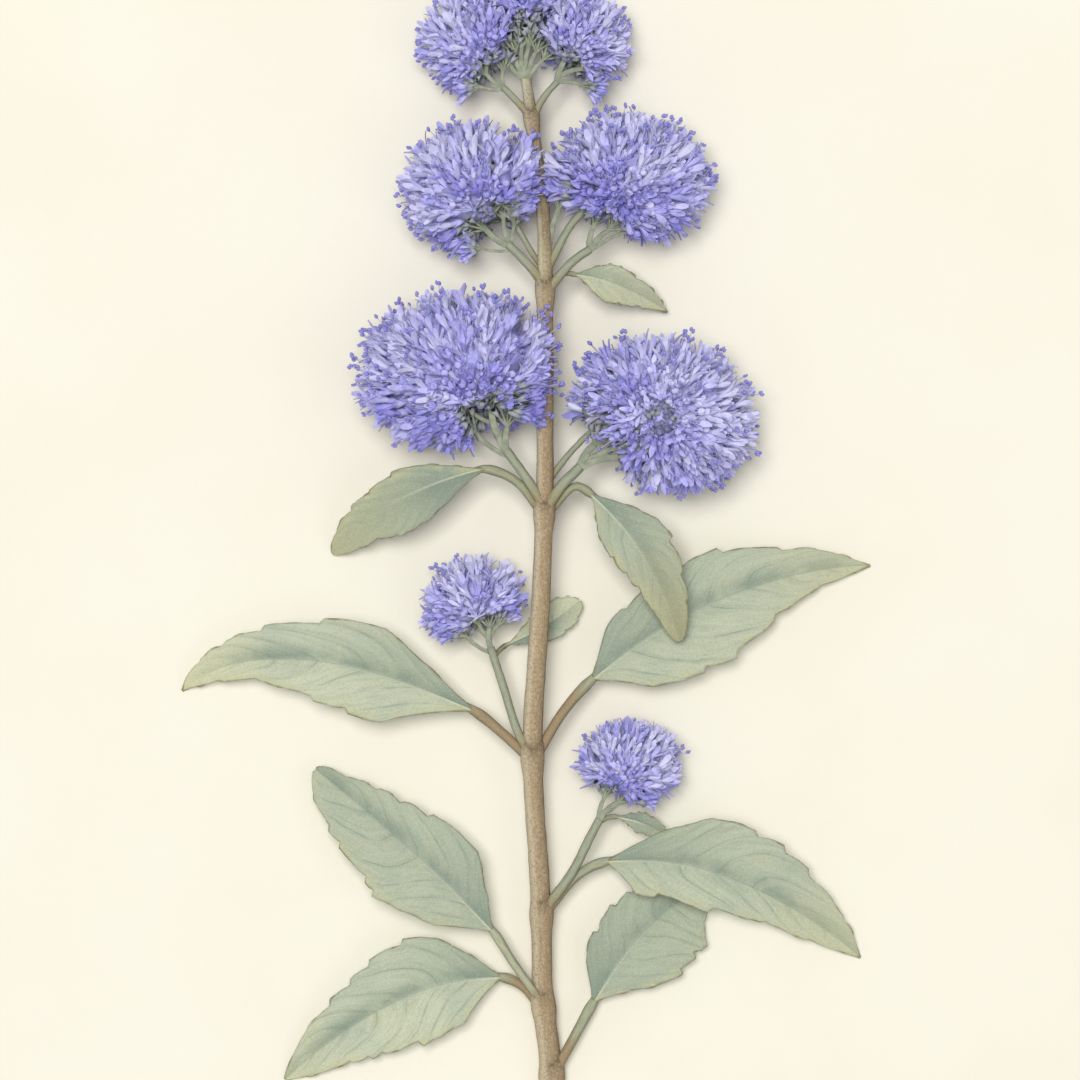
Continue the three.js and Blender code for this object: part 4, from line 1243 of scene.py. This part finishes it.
CUP = cup(False)
BUD = cup(True)
print("cup", len(CUP.faces), "bud", len(BUD.faces))

# %% [markdown]
# Colours are dealt out flower by flower. Eight tints run from the palest lavender to a deep
# violet-blue, each a plain material. A flower's petals start from one of the first six, with
# their tips one step deeper and the tube two.

# %% Flower finishes
TINTS = ["DFDEFA", "D6D5F8", "CDCBF7", "C2C0F5", "B6B4F1", "A9A7EB", "9C99E2", "8D8AD5"]
PETAL_ROUGHNESS = 0.7


def speckled(name, first, second, size, roughness):
    """Two tints, mottled in specks of this size in millimetres."""
    finish = Finish(name, roughness, first)
    finish.lay_where(second, finish.cloud(size, 2.0), 0.35, 0.7)
    return finish.finished()


MATERIALS = {
    "petals": [
        Finish(f"petal_tint_{k}", PETAL_ROUGHNESS, tint).finished() for k, tint in enumerate(TINTS)
    ],
    "stamens": [
        Finish("violet_filament", PETAL_ROUGHNESS, "C6C5EE").finished(),
        speckled("violet_anther", "9C9AE0", "8683D0", 0.8, 0.6),
    ],
    "cups": [
        speckled("grey_green_cup", "ACB0B4", "969BA2", 1.2, 0.85),
        speckled("violet_bud", "A3A2DA", "8A89C6", 1.0, 0.7),
        speckled("violet_cup", "C4C2F0", "AEACE4", 1.2, 0.8),
        # The dark cup and bud are a darker violet-grey; in the sunken eye they are painted shade for its
        # hollow.
        speckled("dark_cup", "9797B6", "7E7EA2", 1.2, 0.85),
        speckled("dark_bud", "908EB8", "7776A0", 1.0, 0.8),
    ],
    "twigs": [
        speckled("grey_green_twig", "8C9480", "A5AA95", 1.5, 0.85),
        speckled("violet_twig", "BDBBE8", "CCCAF0", 1.5, 0.85),
    ],
    "core": [
        speckled("violet_core", "C3C2F2", "B0AFEA", 1.0, 0.9),
        speckled("green_core", "C2C3D6", "ADAFC4", 1.0, 0.9),
    ],
}
GREEN, VIOLET = 0, 1
VIOLET_CUP, DARK_CUP = 2, 3
print("flower materials", sum(len(materials) for materials in MATERIALS.values()))

# %% [markdown]
# ## Flower heads
#
# The heads follow the rule of the solids: an ellipsoid, directions spread over it in a spiral, and
# a repeatable stream of numbers that shifts each of them. All the flowers of a head fan out from
# one point of growth, between its middle and the fork of its stalk. The twigs show at the fork,
# and in small open zones above it.

# %% Head plans
SMALL_HEAD = 12.0
SMALL_HEAD_FLOWERS = 0.88


class Head(Plan):
    """A flower head as planned. It grows from the end of its own stalk, or of the stem."""

    # What holds unless the plan of a head says otherwise.
    turn = 0
    bare = 0.9
    pale = 0.0
    eye = None
    over_stem = False

    def __init__(self, **plan):
        super().__init__(**plan)
        self.centre = Vector(self.centre)
        *_, route = STALKS.get(self.name.replace("head", "stalk"), (stem_route,))
        self.fork = Vector(route[-1])
        self.to_fork = (self.fork - self.centre).normalized()
        self.growth_point = self.centre.lerp(self.fork, self.growth)
        self.mean_half = sum(self.half) / 3
        self.flower_size = SMALL_HEAD_FLOWERS if self.mean_half < SMALL_HEAD else 1.0

    def point(self, way, share):
        """The point in this direction, at a share of the ellipsoid's reach."""
        scaled = Vector(w * h * share for w, h in zip(way, self.half))
        return Matrix.Rotation(math.radians(self.turn), 3, "Z") @ scaled + self.centre

    def facing_fork(self, point):
        """The cosine of the angle between a point and the fork, seen from the centre."""
        return (point - self.centre).normalized().dot(self.to_fork)

    def extent(self, way):
        """How far the head reaches from its centre toward way, without its turn."""
        return Vector(h * w for h, w in zip(self.half, way)).length


HEADS = [
    # Growth is the share of the way from the centre to the fork where the flowers fan out.
    # Beyond the cosine bare, seen from the centre, no flower faces the fork, and beyond cups
    # they have lost their petals. Each calyx is an open zone seen from above: its middle, and
    # half its width and height. Each arm goes from one point to another, with its radius.
    Head(
        name="head_3_right", centre=(17.2, 73.2, 8.4), half=(11.4, 9.4, 9.6), growth=0.4, cups=0.76,
        calyx=[((15.4, 65.6), 2.6, 1.2)],
        arms=[
            ((10.8, 61.8), (11.9, 66.2), 0.5), ((10.8, 61.8), (14.7, 65.4), 0.6),
            ((12.8, 63.4), (17.2, 65.6), 0.3),
        ],
    ),
    Head(
        name="head_4_left", centre=(-14.6, 105.6, 8.6), half=(11.4, 9.8, 9.8), turn=12, growth=0.4,
        bare=0.93, cups=0.5,
        calyx=[((-12.8, 101.8), 3.6, 2.8)],
        arms=[
            ((-10.9, 96.2), (-11.2, 100.4), 0.6), ((-11.1, 98.0), (-13.4, 101.4), 0.5),
            ((-11.1, 98.0), (-9.4, 101.0), 0.4), ((-10.6, 95.2), (-15.8, 98.6), 0.42),
        ],
    ),
    Head(
        name="head_5_left", centre=(-17.6, 151.6, 14.6), half=(21.2, 17.4, 15.6), turn=4, growth=0.45,
        bare=0.92, cups=0.88, over_stem=True,
        calyx=[((-12.4, 143.6), 4.2, 3.0)],
        arms=[
            ((-7.8, 136.0), (-10.8, 144.0), 0.8), ((-7.8, 136.2), (-7.6, 140.6), 0.7),
            ((-8.0, 135.0), (-13.8, 139.4), 0.52), ((-9.6, 141.0), (-15.4, 144.2), 0.45),
        ],
    ),
    Head(
        name="head_5_right", centre=(23.6, 143.4, 14.6), half=(20.2, 16.6, 15.6), turn=-14, growth=0.05,
        bare=0.93, cups=0.86, eye=(23.0, 142.4), pale=0.14,
        calyx=[((12.6, 136.0), 3.0, 1.6)],
        arms=[
            ((6.8, 132.4), (14.8, 134.6), 0.75), ((7.4, 133.4), (15.2, 136.4), 0.5),
            ((6.8, 132.4), (9.8, 137.0), 0.85), ((8.2, 138.8, 12.4), (9.6, 140.0), 0.5),
        ],
    ),
    Head(
        name="head_6_left", centre=(-14.6, 188.6, 12.4), half=(15.0, 14.4, 13.6), growth=0.45,
        cups=0.74, over_stem=True,
        calyx=[((-12.2, 182.0), 4.8, 4.0)],
        arms=[
            ((-6.8, 176.6), (-11.8, 180.0), 0.7), ((-7.2, 177.0), (-8.3, 182.2), 0.5),
            ((-6.6, 176.8), (-6.1, 181.0), 0.42), ((-6.6, 176.0), (-12.8, 176.4), 0.3),
        ],
    ),
    Head(
        name="head_6_right", centre=(17.0, 190.4, 12.4), half=(17.0, 13.9, 13.6), turn=-6, growth=0.35,
        cups=0.8, over_stem=True,
        calyx=[((11.8, 180.4), 3.2, 2.0)],
        arms=[
            ((8.8, 176.0), (9.8, 180.8), 0.6), ((9.2, 176.4), (12.8, 180.0), 0.6),
            ((9.6, 176.2), (18.0, 180.0), 0.4), ((0.9, 174.0), (2.7, 184.4), 0.62),
        ],
    ),
    Head(
        name="head_7_left", centre=(-14.6, 218.0, 10.2), half=(11.4, 11.4, 11.4), growth=0.45, cups=0.56,
        calyx=[((-10.4, 213.4), 3.0, 2.6), ((-6.4, 216.6), 2.6, 3.4)],
        arms=[
            ((-8.2, 208.4), (-13.2, 208.8), 0.42), ((-8.4, 208.7), (-11.8, 211.4), 0.5),
            ((-8.4, 208.7), (-8.4, 212.0), 0.45),
        ],
    ),
    Head(
        name="head_7_right", centre=(7.0, 218.2, 10.2), half=(11.0, 11.2, 11.4), growth=0.45, cups=0.62,
        calyx=[((5.0, 214.4), 3.0, 2.8), ((-1.0, 216.4), 2.6, 3.2)],
        arms=[
            ((2.4, 209.8), (3.8, 213.8), 0.65), ((2.4, 209.8), (7.2, 209.2), 0.4),
            ((3.0, 211.0), (7.4, 212.4), 0.55),
        ],
    ),
    Head(
        name="head_7_top", centre=(-3.6, 229.6, 10.0), half=(10.2, 9.8, 11.0), growth=0.4,
        bare=0.95, cups=0.6,
        calyx=[((-4.4, 218.0), 4.4, 3.8)],
        arms=[
            ((-4.1, 210.0), (-7.4, 214.0), 0.46), ((-4.0, 210.0), (-6.0, 215.6), 0.5),
            ((-3.9, 210.2), (-4.7, 216.6), 0.52), ((-3.8, 210.2), (-3.3, 216.8), 0.52),
            ((-3.7, 210.0), (-1.8, 215.8), 0.5), ((-3.6, 210.0), (-0.4, 214.2), 0.46),
        ],
    ),
]
print("forks", [tuple(round(v, 1) for v in head.fork) for head in HEADS])

# %% [markdown]
# The stream of numbers and the spiral are the solid's own. Where two heads crowd each other, a
# flat parting between them keeps their flowers apart, and no flower comes closer to a stem or
# stalk than its skin allows.

# %% Directions, partings and limbs
GOLDEN_ANGLE = math.pi * (3 - math.sqrt(5))
STREAM_FACTOR = 1664525
STREAM_STEP = 1013904223
STREAM_SIZE = 2 ** 32
AREA_POWER = 1.6
CROWDING = 0.3
STEM_SAMPLES = 240
STALK_SAMPLES = 12


def random_stream(seed):
    """The solid's own stream of numbers from 0 to 1."""
    state = seed
    while True:
        state = (state * STREAM_FACTOR + STREAM_STEP) % STREAM_SIZE
        yield state / STREAM_SIZE


def shaken(rand, vector, amount):
    return vector + Vector((next(rand) - 0.5, next(rand) - 0.5, next(rand) - 0.5)) * amount


def spiral_directions(count):
    for i in range(count):
        z = 1 - 2 * (i + 0.5) / count
        radius = math.sqrt(1 - z * z)
        yield Vector((radius * math.cos(i * GOLDEN_ANGLE), radius * math.sin(i * GOLDEN_ANGLE), z))


def ellipsoid_area(half):
    a, b, c = half
    mean = ((a * b) ** AREA_POWER + (a * c) ** AREA_POWER + (b * c) ** AREA_POWER) / 3
    return 4 * math.pi * mean ** (1 / AREA_POWER)


def parting_planes(head):
    """The flat sides between this head and the ones that crowd it."""
    planes = []
    for other in HEADS:
        if other is head:
            continue
        gap = other.centre - head.centre
        way = gap.normalized()
        size, other_size = head.extent(way), other.extent(way)
        if size + other_size > gap.length - CROWDING:
            planes.append((way, gap.length * size / (size + other_size)))
    return planes


limb_points = [(centripetal(stem_route, u)[:], stem_radius(u)) for u in even_shares(STEM_SAMPLES)]
for root_radius, _, route in STALKS.values():
    limb_points += [(centripetal(route, u)[:], root_radius) for u in even_shares(STALK_SAMPLES)]
LIMB_CENTRES = np.array([point for point, _ in limb_points])
LIMB_RADII = np.array([radius for _, radius in limb_points])


def clear_of_limbs(point):
    """How far a point is from the nearest limb's skin."""
    gaps = np.linalg.norm(LIMB_CENTRES - np.array(point), axis=1) - LIMB_RADII
    return float(np.min(gaps))


print("partings", [len(parting_planes(head)) for head in HEADS])

# %% [markdown]
# Inside a head the stalk forks into a few arms, placed one by one because they show. Their ends
# spread into fans of twigs with cups, or with flowers on the thin ones. Hidden inner arms and
# branches carry all the other flowers on short pedicels. A lumpy middle, hollowed toward the
# fork, keeps light from shining through the head.

# %% Arms, fans and core
FLOWER_LENGTH = 5.6
CORE_DEPTH = 0.95
CORE_HOLLOW = 0.5
CORE_LUMPS = 0.08
GREEN_CORE_FROM = 0.6
INNER_ARMS = 7
INNER_ARM_REACH = 0.36
BRANCHES = 30
BRANCH_REACH = 0.6
NO_BRANCH_FROM = 0.8
VIOLET_INSIDE = 0.45
ARM_RISE = 0.6
ARM_BEND = 0.06
THIN_ARM = 0.44
FAN_TWIGS = 5
THIN_FAN_TWIGS = 9
FAN_SPREAD = 42.0
FAN_LENGTH = 3.4
FAN_CLEARANCE = 0.6


def core_mesh(head, core):
    """The lumpy middle of a head. On the side of the fork it is hollowed and green."""
    share = 1 - CORE_DEPTH * FLOWER_LENGTH * head.flower_size / head.mean_half
    bm = bmesh.new()
    bmesh.ops.create_icosphere(bm, subdivisions=4, radius=1.0)
    for face in bm.faces:
        if face.calc_center_median().normalized().dot(head.to_fork) > GREEN_CORE_FROM:
            face.material_index = 1
    for vertex in bm.verts:
        way = vertex.co.normalized()
        hollow = 1 - CORE_HOLLOW * max(way.dot(head.to_fork), 0) ** 3
        lump = CORE_LUMPS * noise.noise(way * 4.0 + head.centre)
        vertex.co = head.point(way, (share + lump) * hollow)
    core.add(Template(bm))


def twig(twigs, points, radii, sides=4, mark=GREEN):
    bm = bmesh.new()
    thread(bm, [Vector(p) for p in points], radii, sides)
    twigs.add(Template(bm), mark=mark)


def nearest_to(point, points):
    return min(points, key=lambda p: (p - point).length)


def frame_along(axis, turn, origin, scale):
    """A matrix that stands a template up along axis, turned round it."""
    lie = axis.to_track_quat("Z", "Y").to_matrix().to_4x4()
    spin = Matrix.Rotation(turn, 4, "Z") @ Matrix.Scale(scale, 4)
    return Matrix.Translation(origin) @ lie @ spin


def arm_ends(head, first, last):
    """Both ends of an arm in space: at the height of the fork, if none is given, and rising."""
    root = Vector(first) if len(first) == 3 else Vector((*first, head.fork.z))
    return root, Vector((*last, root.z + ARM_RISE))


def grow_fan(rand, tip, way, thin, parts):
    """Stalks that spread from the end of an arm: cups on a thick arm, flowers on a thin one."""
    count = THIN_FAN_TWIGS if thin else FAN_TWIGS
    for k in range(count):
        turn = math.radians(FAN_SPREAD * (2 * k / (count - 1) - 1))
        out = Matrix.Rotation(turn, 3, "Z") @ way
        out.z = 0.9 * next(rand) - 0.3
        out.normalize()
        end = tip + out * FAN_LENGTH * (0.7 + 0.6 * next(rand)) * (0.5 if thin else 1.0)
        if clear_of_limbs(end) < FAN_CLEARANCE:
            continue
        twig(parts.twigs, [tip, tip.lerp(end, 0.5) + UP * 0.1, end], [0.34, 0.28, 0.24])
        stand = frame_along(out, 6 * next(rand), end, 0.62 if thin else 0.8)
        parts.cups.add(CUP, stand)
        if thin:
            parts.petals.add(COROLLAS[k % len(COROLLAS)], stand, 2 + k % 4)


def grow_shown_arms(head, rand, parts):
    """The arms that the plan gives, with a fan on each. Gives back their tips."""
    tips = []
    for first, last, radius in head.arms:
        root, tip = arm_ends(head, first, last)
        bend = UP.cross(tip - root) * ARM_BEND
        points = [root, root.lerp(tip, 0.35) + bend, root.lerp(tip, 0.7) + bend, tip]
        twig(parts.twigs, points, [radius * share for share in (1.1, 1, 0.9, 0.8)], 8)
        grow_fan(rand, tip, (tip - root).normalized(), radius < THIN_ARM, parts)
        tips.append(tip)
    return tips


def grow_branches(head, tips, twigs):
    """The hidden arms and their branches. Gives back the ends of the branches."""
    inner = [head.point(way, INNER_ARM_REACH) for way in spiral_directions(INNER_ARMS)]
    for arm in inner:
        root = nearest_to(arm, tips)
        twig(twigs, [root, root.lerp(arm, 0.5) + (arm - head.centre) * 0.2, arm], [0.5, 0.45, 0.4], 5)
    ends = []
    for way in spiral_directions(BRANCHES):
        if head.facing_fork(head.point(way, 1)) >= NO_BRANCH_FROM:
            continue
        end = head.point(way, BRANCH_REACH)
        arm = nearest_to(end, inner)
        middle = arm.lerp(end, 0.5) + (end - head.centre) * 0.05
        tint = VIOLET if head.facing_fork(end) < VIOLET_INSIDE else GREEN
        twig(twigs, [arm, middle, end], [0.4, 0.34, 0.3], 4, tint)
        ends.append(end)
    return ends


print("arms", sum(len(head.arms) for head in HEADS))

# %% [markdown]
# A flower's place is worked out first, and only then does it get its parts, so the tests for
# space come before anything is made. A flower keeps clear of limbs, partings and the arms that
# show. One that has no space is lifted until it arches over the limb under it. Beside the stem,
# the heads that cross it lean over it.

# %% Space for a flower
ARM_SHOWS = 0.78
ARM_SAMPLES = 8
ARM_CLEARANCE = 1.5
UNDER_ARM = 1.5
LOWEST_BASE = 0.8
BEYOND_PARTING = 1.2
# How far the base, the middle and the top of a flower keep from any limb.
CLEARANCES = (0.6, 0.8, 0.5)
LIFTS = (0.0, 1.2, 2.4, 3.6, 4.8, 6.0)
LIFT_FROM = 4.0
STEM_SIDE = 5.5
OVER_STEM_FROM = 14.2
LEAN_OVER = 0.7


def shown_points(head):
    """Points along the stretch of each arm that no flower may hide."""
    for first, last, _ in head.arms:
        root, tip = arm_ends(head, first, last)
        for share in even_shares(ARM_SAMPLES):
            yield root.lerp(tip, share * ARM_SHOWS)[:]


SHOWN_ARMS = np.array([point for head in HEADS for point in shown_points(head)])


def hides_an_arm(point):
    near = np.hypot(*(SHOWN_ARMS[:, :2] - np.array(point[:2])).T) < ARM_CLEARANCE
    return bool((near & (SHOWN_ARMS[:, 2] - UNDER_ARM < point[2])).any())


def has_space(base, surface, centre, planes):
    along = (base, (base + surface) / 2, surface)
    if base.z < LOWEST_BASE or any(hides_an_arm(point) for point in along):
        return False
    for way, limit in planes:
        if way.dot(base - centre) > limit or way.dot(surface - centre) > limit + BEYOND_PARTING:
            return False
    return all(clear_of_limbs(point) > least for point, least in zip(along, CLEARANCES))


def lift_for_space(base, surface, centre, planes):
    """The least lift that gives a flower space, so that it arches over a limb. None if none does."""
    for lift in LIFTS:
        if has_space(base + UP * lift, surface + UP * lift, centre, planes):
            return UP * lift
        if surface.z < centre.z - LIFT_FROM:
            break
    return None


def lean_over_stem(head, surface):
    """Draws the top of a flower that is close beside the stem over it, in heads that cross it."""
    to_stem = stem_middle_x(surface.y) - surface.x
    beside = abs(to_stem) < STEM_SIDE and surface.z > OVER_STEM_FROM
    if not head.over_stem or not beside:
        return surface
    return surface + Vector((to_stem * LEAN_OVER, 0, 0))


print("points of arms that show", len(SHOWN_ARMS))

# %% [markdown]
# Flowers stand out in tufts, with hollows between them, and their axes are pressed toward the
# level plane, so that seen from above they fan out. Long stamens stand out of about a third of
# the flowers in a tuft and of few others. Young flowers fill the middle of the head's top.

# %% Where flowers stand
FLOWER_SPACING = 2.5
YOUNG_SPACING = 2.3
YOUNG_SIZE = 0.8
PETAL_REACH = 0.91
PETAL_ROOM = 0.5
STAMEN_ROOM = 2.4
STAMEN_CHANCE = 0.2
TUFT_FROM = 0.1
AXIS_FLATTENING = 0.5
AXIS_SHAKE = 0.45
WAY_SHAKE = 0.16
CALYX_SINK = 0.84
# Shares of a flower's length, from its top down, where it may lie over an open zone.
LOOKED_AT = (0.0, 0.35, 0.7)


def tuft(head, way):
    """Above 0 where flowers stand out in a tuft, and below 0 in the hollows between tufts."""
    return noise.noise(way * 5.0 + head.centre * 0.37)


def uneven(head, way):
    """How much further or less far the head reaches in this direction than its ellipsoid."""
    broad = noise.noise(way * 2.6 + head.centre * 0.53)
    return 1 + 0.14 * broad + 0.3 * tuft(head, way)


def flower_axis(rand, surface, growth):
    axis = surface - growth
    axis.z *= AXIS_FLATTENING
    return shaken(rand, axis.normalized(), AXIS_SHAKE).normalized()


def inwardness(head, surface):
    """1 over the point of growth, and 0 as far from it as the head is wide."""
    return 1 - min((surface - head.growth_point).to_2d().length / head.mean_half, 1)


def in_calyx_zone(head, surface):
    """Whether a flower lies where the head, seen from above, shows its twigs and empty cups."""
    return any(
        ((surface.x - x) / across) ** 2 + ((surface.y - y) / up) ** 2 < 1
        for (x, y), across, up in head.calyx
    )


def seats(head):
    """Even directions over a head, and whether each is for one of the young flowers."""
    area = ellipsoid_area(head.half)
    for spacing, young in ((FLOWER_SPACING, False), (YOUNG_SPACING, True)):
        for even in spiral_directions(round(area / spacing ** 2)):
            yield even, young


def plan_flower(head, rand, even, young):
    """Where a flower would be, how it would stand and how it would look."""
    way = shaken(rand, even, WAY_SHAKE).normalized()
    standing_out = tuft(head, way)
    stamens_here = next(rand) < STAMEN_CHANCE * (1.6 if standing_out > TUFT_FROM else 0.25)
    long_stamens = stamens_here and not young
    room = STAMEN_ROOM if long_stamens else PETAL_ROOM
    reach = PETAL_REACH * uneven(head, way) + 0.05 * (next(rand) - 0.5)
    surface = head.point(way, min(reach, 1 - room / head.extent(way)))
    surface = lean_over_stem(head, surface)
    in_zone = in_calyx_zone(head, surface)
    if in_zone:
        surface = head.centre + (surface - head.centre) * CALYX_SINK
    inward = inwardness(head, surface)
    size = head.flower_size * (0.88 + 0.24 * next(rand)) * (1 - 0.2 * inward)
    if young:
        size *= YOUNG_SIZE
    axis = flower_axis(rand, surface, head.growth_point)
    base = surface - axis * FLOWER_LENGTH * size
    return Plan(
        young=young, long_stamens=long_stamens, surface=surface, base=base, axis=axis, size=size,
        in_zone=in_zone, inward=inward, tuft=standing_out, facing_fork=head.facing_fork(surface),
        outward=(surface - head.centre).normalized(),
        over_zone=any(in_calyx_zone(head, surface.lerp(base, share)) for share in LOOKED_AT),
        turn=2 * math.pi * next(rand), choice=next(rand), chance=next(rand),
    )


print("seats", [sum(1 for _ in seats(head)) for head in HEADS])

# %% [markdown]
# Near the fork, and over the open zones, flowers are left out. Beside them the flowers have
# dropped their petals, and only cups and buds are left. The petals are deeper in tufts, in
# patches, toward the point of growth and where they lie over an open zone. They are also deeper
# low down and toward the fork, which is painted shade.

# %% Which flowers there are
YOUNG_FROM = 0.38
YOUNG_HIGHER_THAN = 0.1
ZONE_SEEN_FROM = -0.25
EYE_RADIUS = 2.3
EYE_MARGIN = 0.9
DROPPED = 0.04
BUDS_AMONG_CUPS = 0.4
PETAL_TINTS = 6


def in_eye(head, surface):
    if head.eye is None or surface.z < head.centre.z:
        return False
    return (surface.to_2d() - Vector(head.eye)).length < EYE_RADIUS + EYE_MARGIN


def wanted(head, flower):
    """Whether there is a flower at all: not by the fork, and young ones only in the middle."""
    if flower.facing_fork > head.bare or in_eye(head, flower.surface):
        return False
    if flower.over_zone and flower.outward.z > ZONE_SEEN_FROM and not flower.in_zone:
        return False
    in_middle = flower.inward > YOUNG_FROM and flower.outward.z > YOUNG_HIGHER_THAN
    return not flower.young or in_middle


def left_as_cup(head, flower):
    """Whether a flower has dropped its petals: by the fork, and here and there elsewhere."""
    return flower.in_zone or flower.facing_fork > head.cups or flower.choice < DROPPED


def petal_tint(head, flower):
    """The number of the tint of a flower's petals. The factors say how much each thing counts; the fork and
    low-down terms paint shade.
    """
    patch = noise.noise(flower.surface * 0.14 + Vector((3.0, 1.0, 0.0)))
    depth = 0.3 + 0.4 * (flower.chance - 0.5) + 0.5 * patch + 0.55 * flower.inward
    # Painted shade: petals deeper toward the fork and low down on the head.
    depth += 0.6 * flower.tuft + 0.26 * flower.facing_fork - 0.12 * flower.outward.z
    depth -= head.pale
    if flower.over_zone:
        depth += 0.5
    return min(PETAL_TINTS - 1, max(0, int(PETAL_TINTS * depth)))


def add_cup(flower, stand, cups):
    """An empty cup or a bud. In the open zones of a head about half of them are dark."""
    dark = flower.in_zone and flower.choice * 10 % 1 < 0.5
    cups.add(BUD if flower.chance < BUDS_AMONG_CUPS else CUP, stand, DARK_CUP if dark else GREEN)


def add_flower(head, flower, stand, tint, parts):
    kinds = YOUNG_COROLLAS if flower.young else COROLLAS
    kind = kinds[int(flower.choice * 97) % len(kinds)]
    parts.petals.add(kind, stand, petal_tint(head, flower))
    parts.cups.add(CUP, stand, VIOLET_CUP if tint == VIOLET else GREEN)
    if flower.long_stamens:
        stamen_set = STAMEN_SETS[int(flower.choice * 61) % len(STAMEN_SETS)]
        parts.stamens.add(stamen_set, stand)


# %% [markdown]
# One head shows a dark spot on top, of buds and cups that are still green, sunk between the
# flowers and dealt out as a small spiral. Most of them get a darker violet-grey, which paints the
# shade of that hollow. Each head then becomes five pieces: petals, stamens, cups, twigs and core.

# %% Build the heads
SEED = 7
EYE_BUDS = 20
EYE_DEPTH = 3.4
PEDICEL_RADII = [0.24, 0.22, 0.2]


def add_eye(head, cups):
    level = head.centre.z + head.half[2] * PETAL_REACH - EYE_DEPTH
    for k in range(EYE_BUDS):
        out = EYE_RADIUS * math.sqrt((k + 0.5) / EYE_BUDS)
        lean = Vector((math.cos(k * GOLDEN_ANGLE), math.sin(k * GOLDEN_ANGLE), 0))
        base = Vector((*head.eye, level)) + lean * out
        stand = frame_along((UP + lean * 0.5).normalized(), 2.0 * k, base, 0.7 + 0.1 * (k % 4))
        # Most of the eye gets the darker violet-grey: painted shade for its hollow.
        cups.add(BUD if k % 5 == 0 else CUP, stand, GREEN if k % 4 == 1 else DARK_CUP)


def grow_flowers(head, rand, ends, parts):
    """All the flowers of a head that find space, each on its pedicel. Gives back their number."""
    planes = parting_planes(head)
    count = 0
    for even, young in seats(head):
        flower = plan_flower(head, rand, even, young)
        if not wanted(head, flower):
            continue
        lift = lift_for_space(flower.base, flower.surface, head.centre, planes)
        if lift is None:
            continue
        base = flower.base + lift
        end = nearest_to(base, ends)
        tint = VIOLET if flower.facing_fork < VIOLET_INSIDE else GREEN
        pedicel = [end, end.lerp(base, 0.5) + flower.outward * 0.3, base]
        twig(parts.twigs, pedicel, PEDICEL_RADII, 3, tint)
        stand = frame_along(flower.axis, flower.turn, base, flower.size)
        if left_as_cup(head, flower):
            add_cup(flower, stand, parts.cups)
            continue
        add_flower(head, flower, stand, tint, parts)
        count += 1
    return count


def build_head(head):
    rand = random_stream(SEED + round(head.centre.y))
    parts = SimpleNamespace(**{part: Gathering() for part in MATERIALS})
    core_mesh(head, parts.core)
    tips = grow_shown_arms(head, rand, parts)
    ends = grow_branches(head, tips, parts.twigs)
    if head.eye:
        add_eye(head, parts.cups)
    flowers = grow_flowers(head, rand, ends, parts)
    triangles = 0
    for part, gathering in vars(parts).items():
        mesh = gathering.mesh()
        triangles += len(mesh.polygons)
        finish_piece(head.name, part, mesh, MATERIALS[part])
    print(head.name, flowers, "flowers,", triangles, "triangles")


for head in HEADS:
    build_head(head)

# %% [markdown]
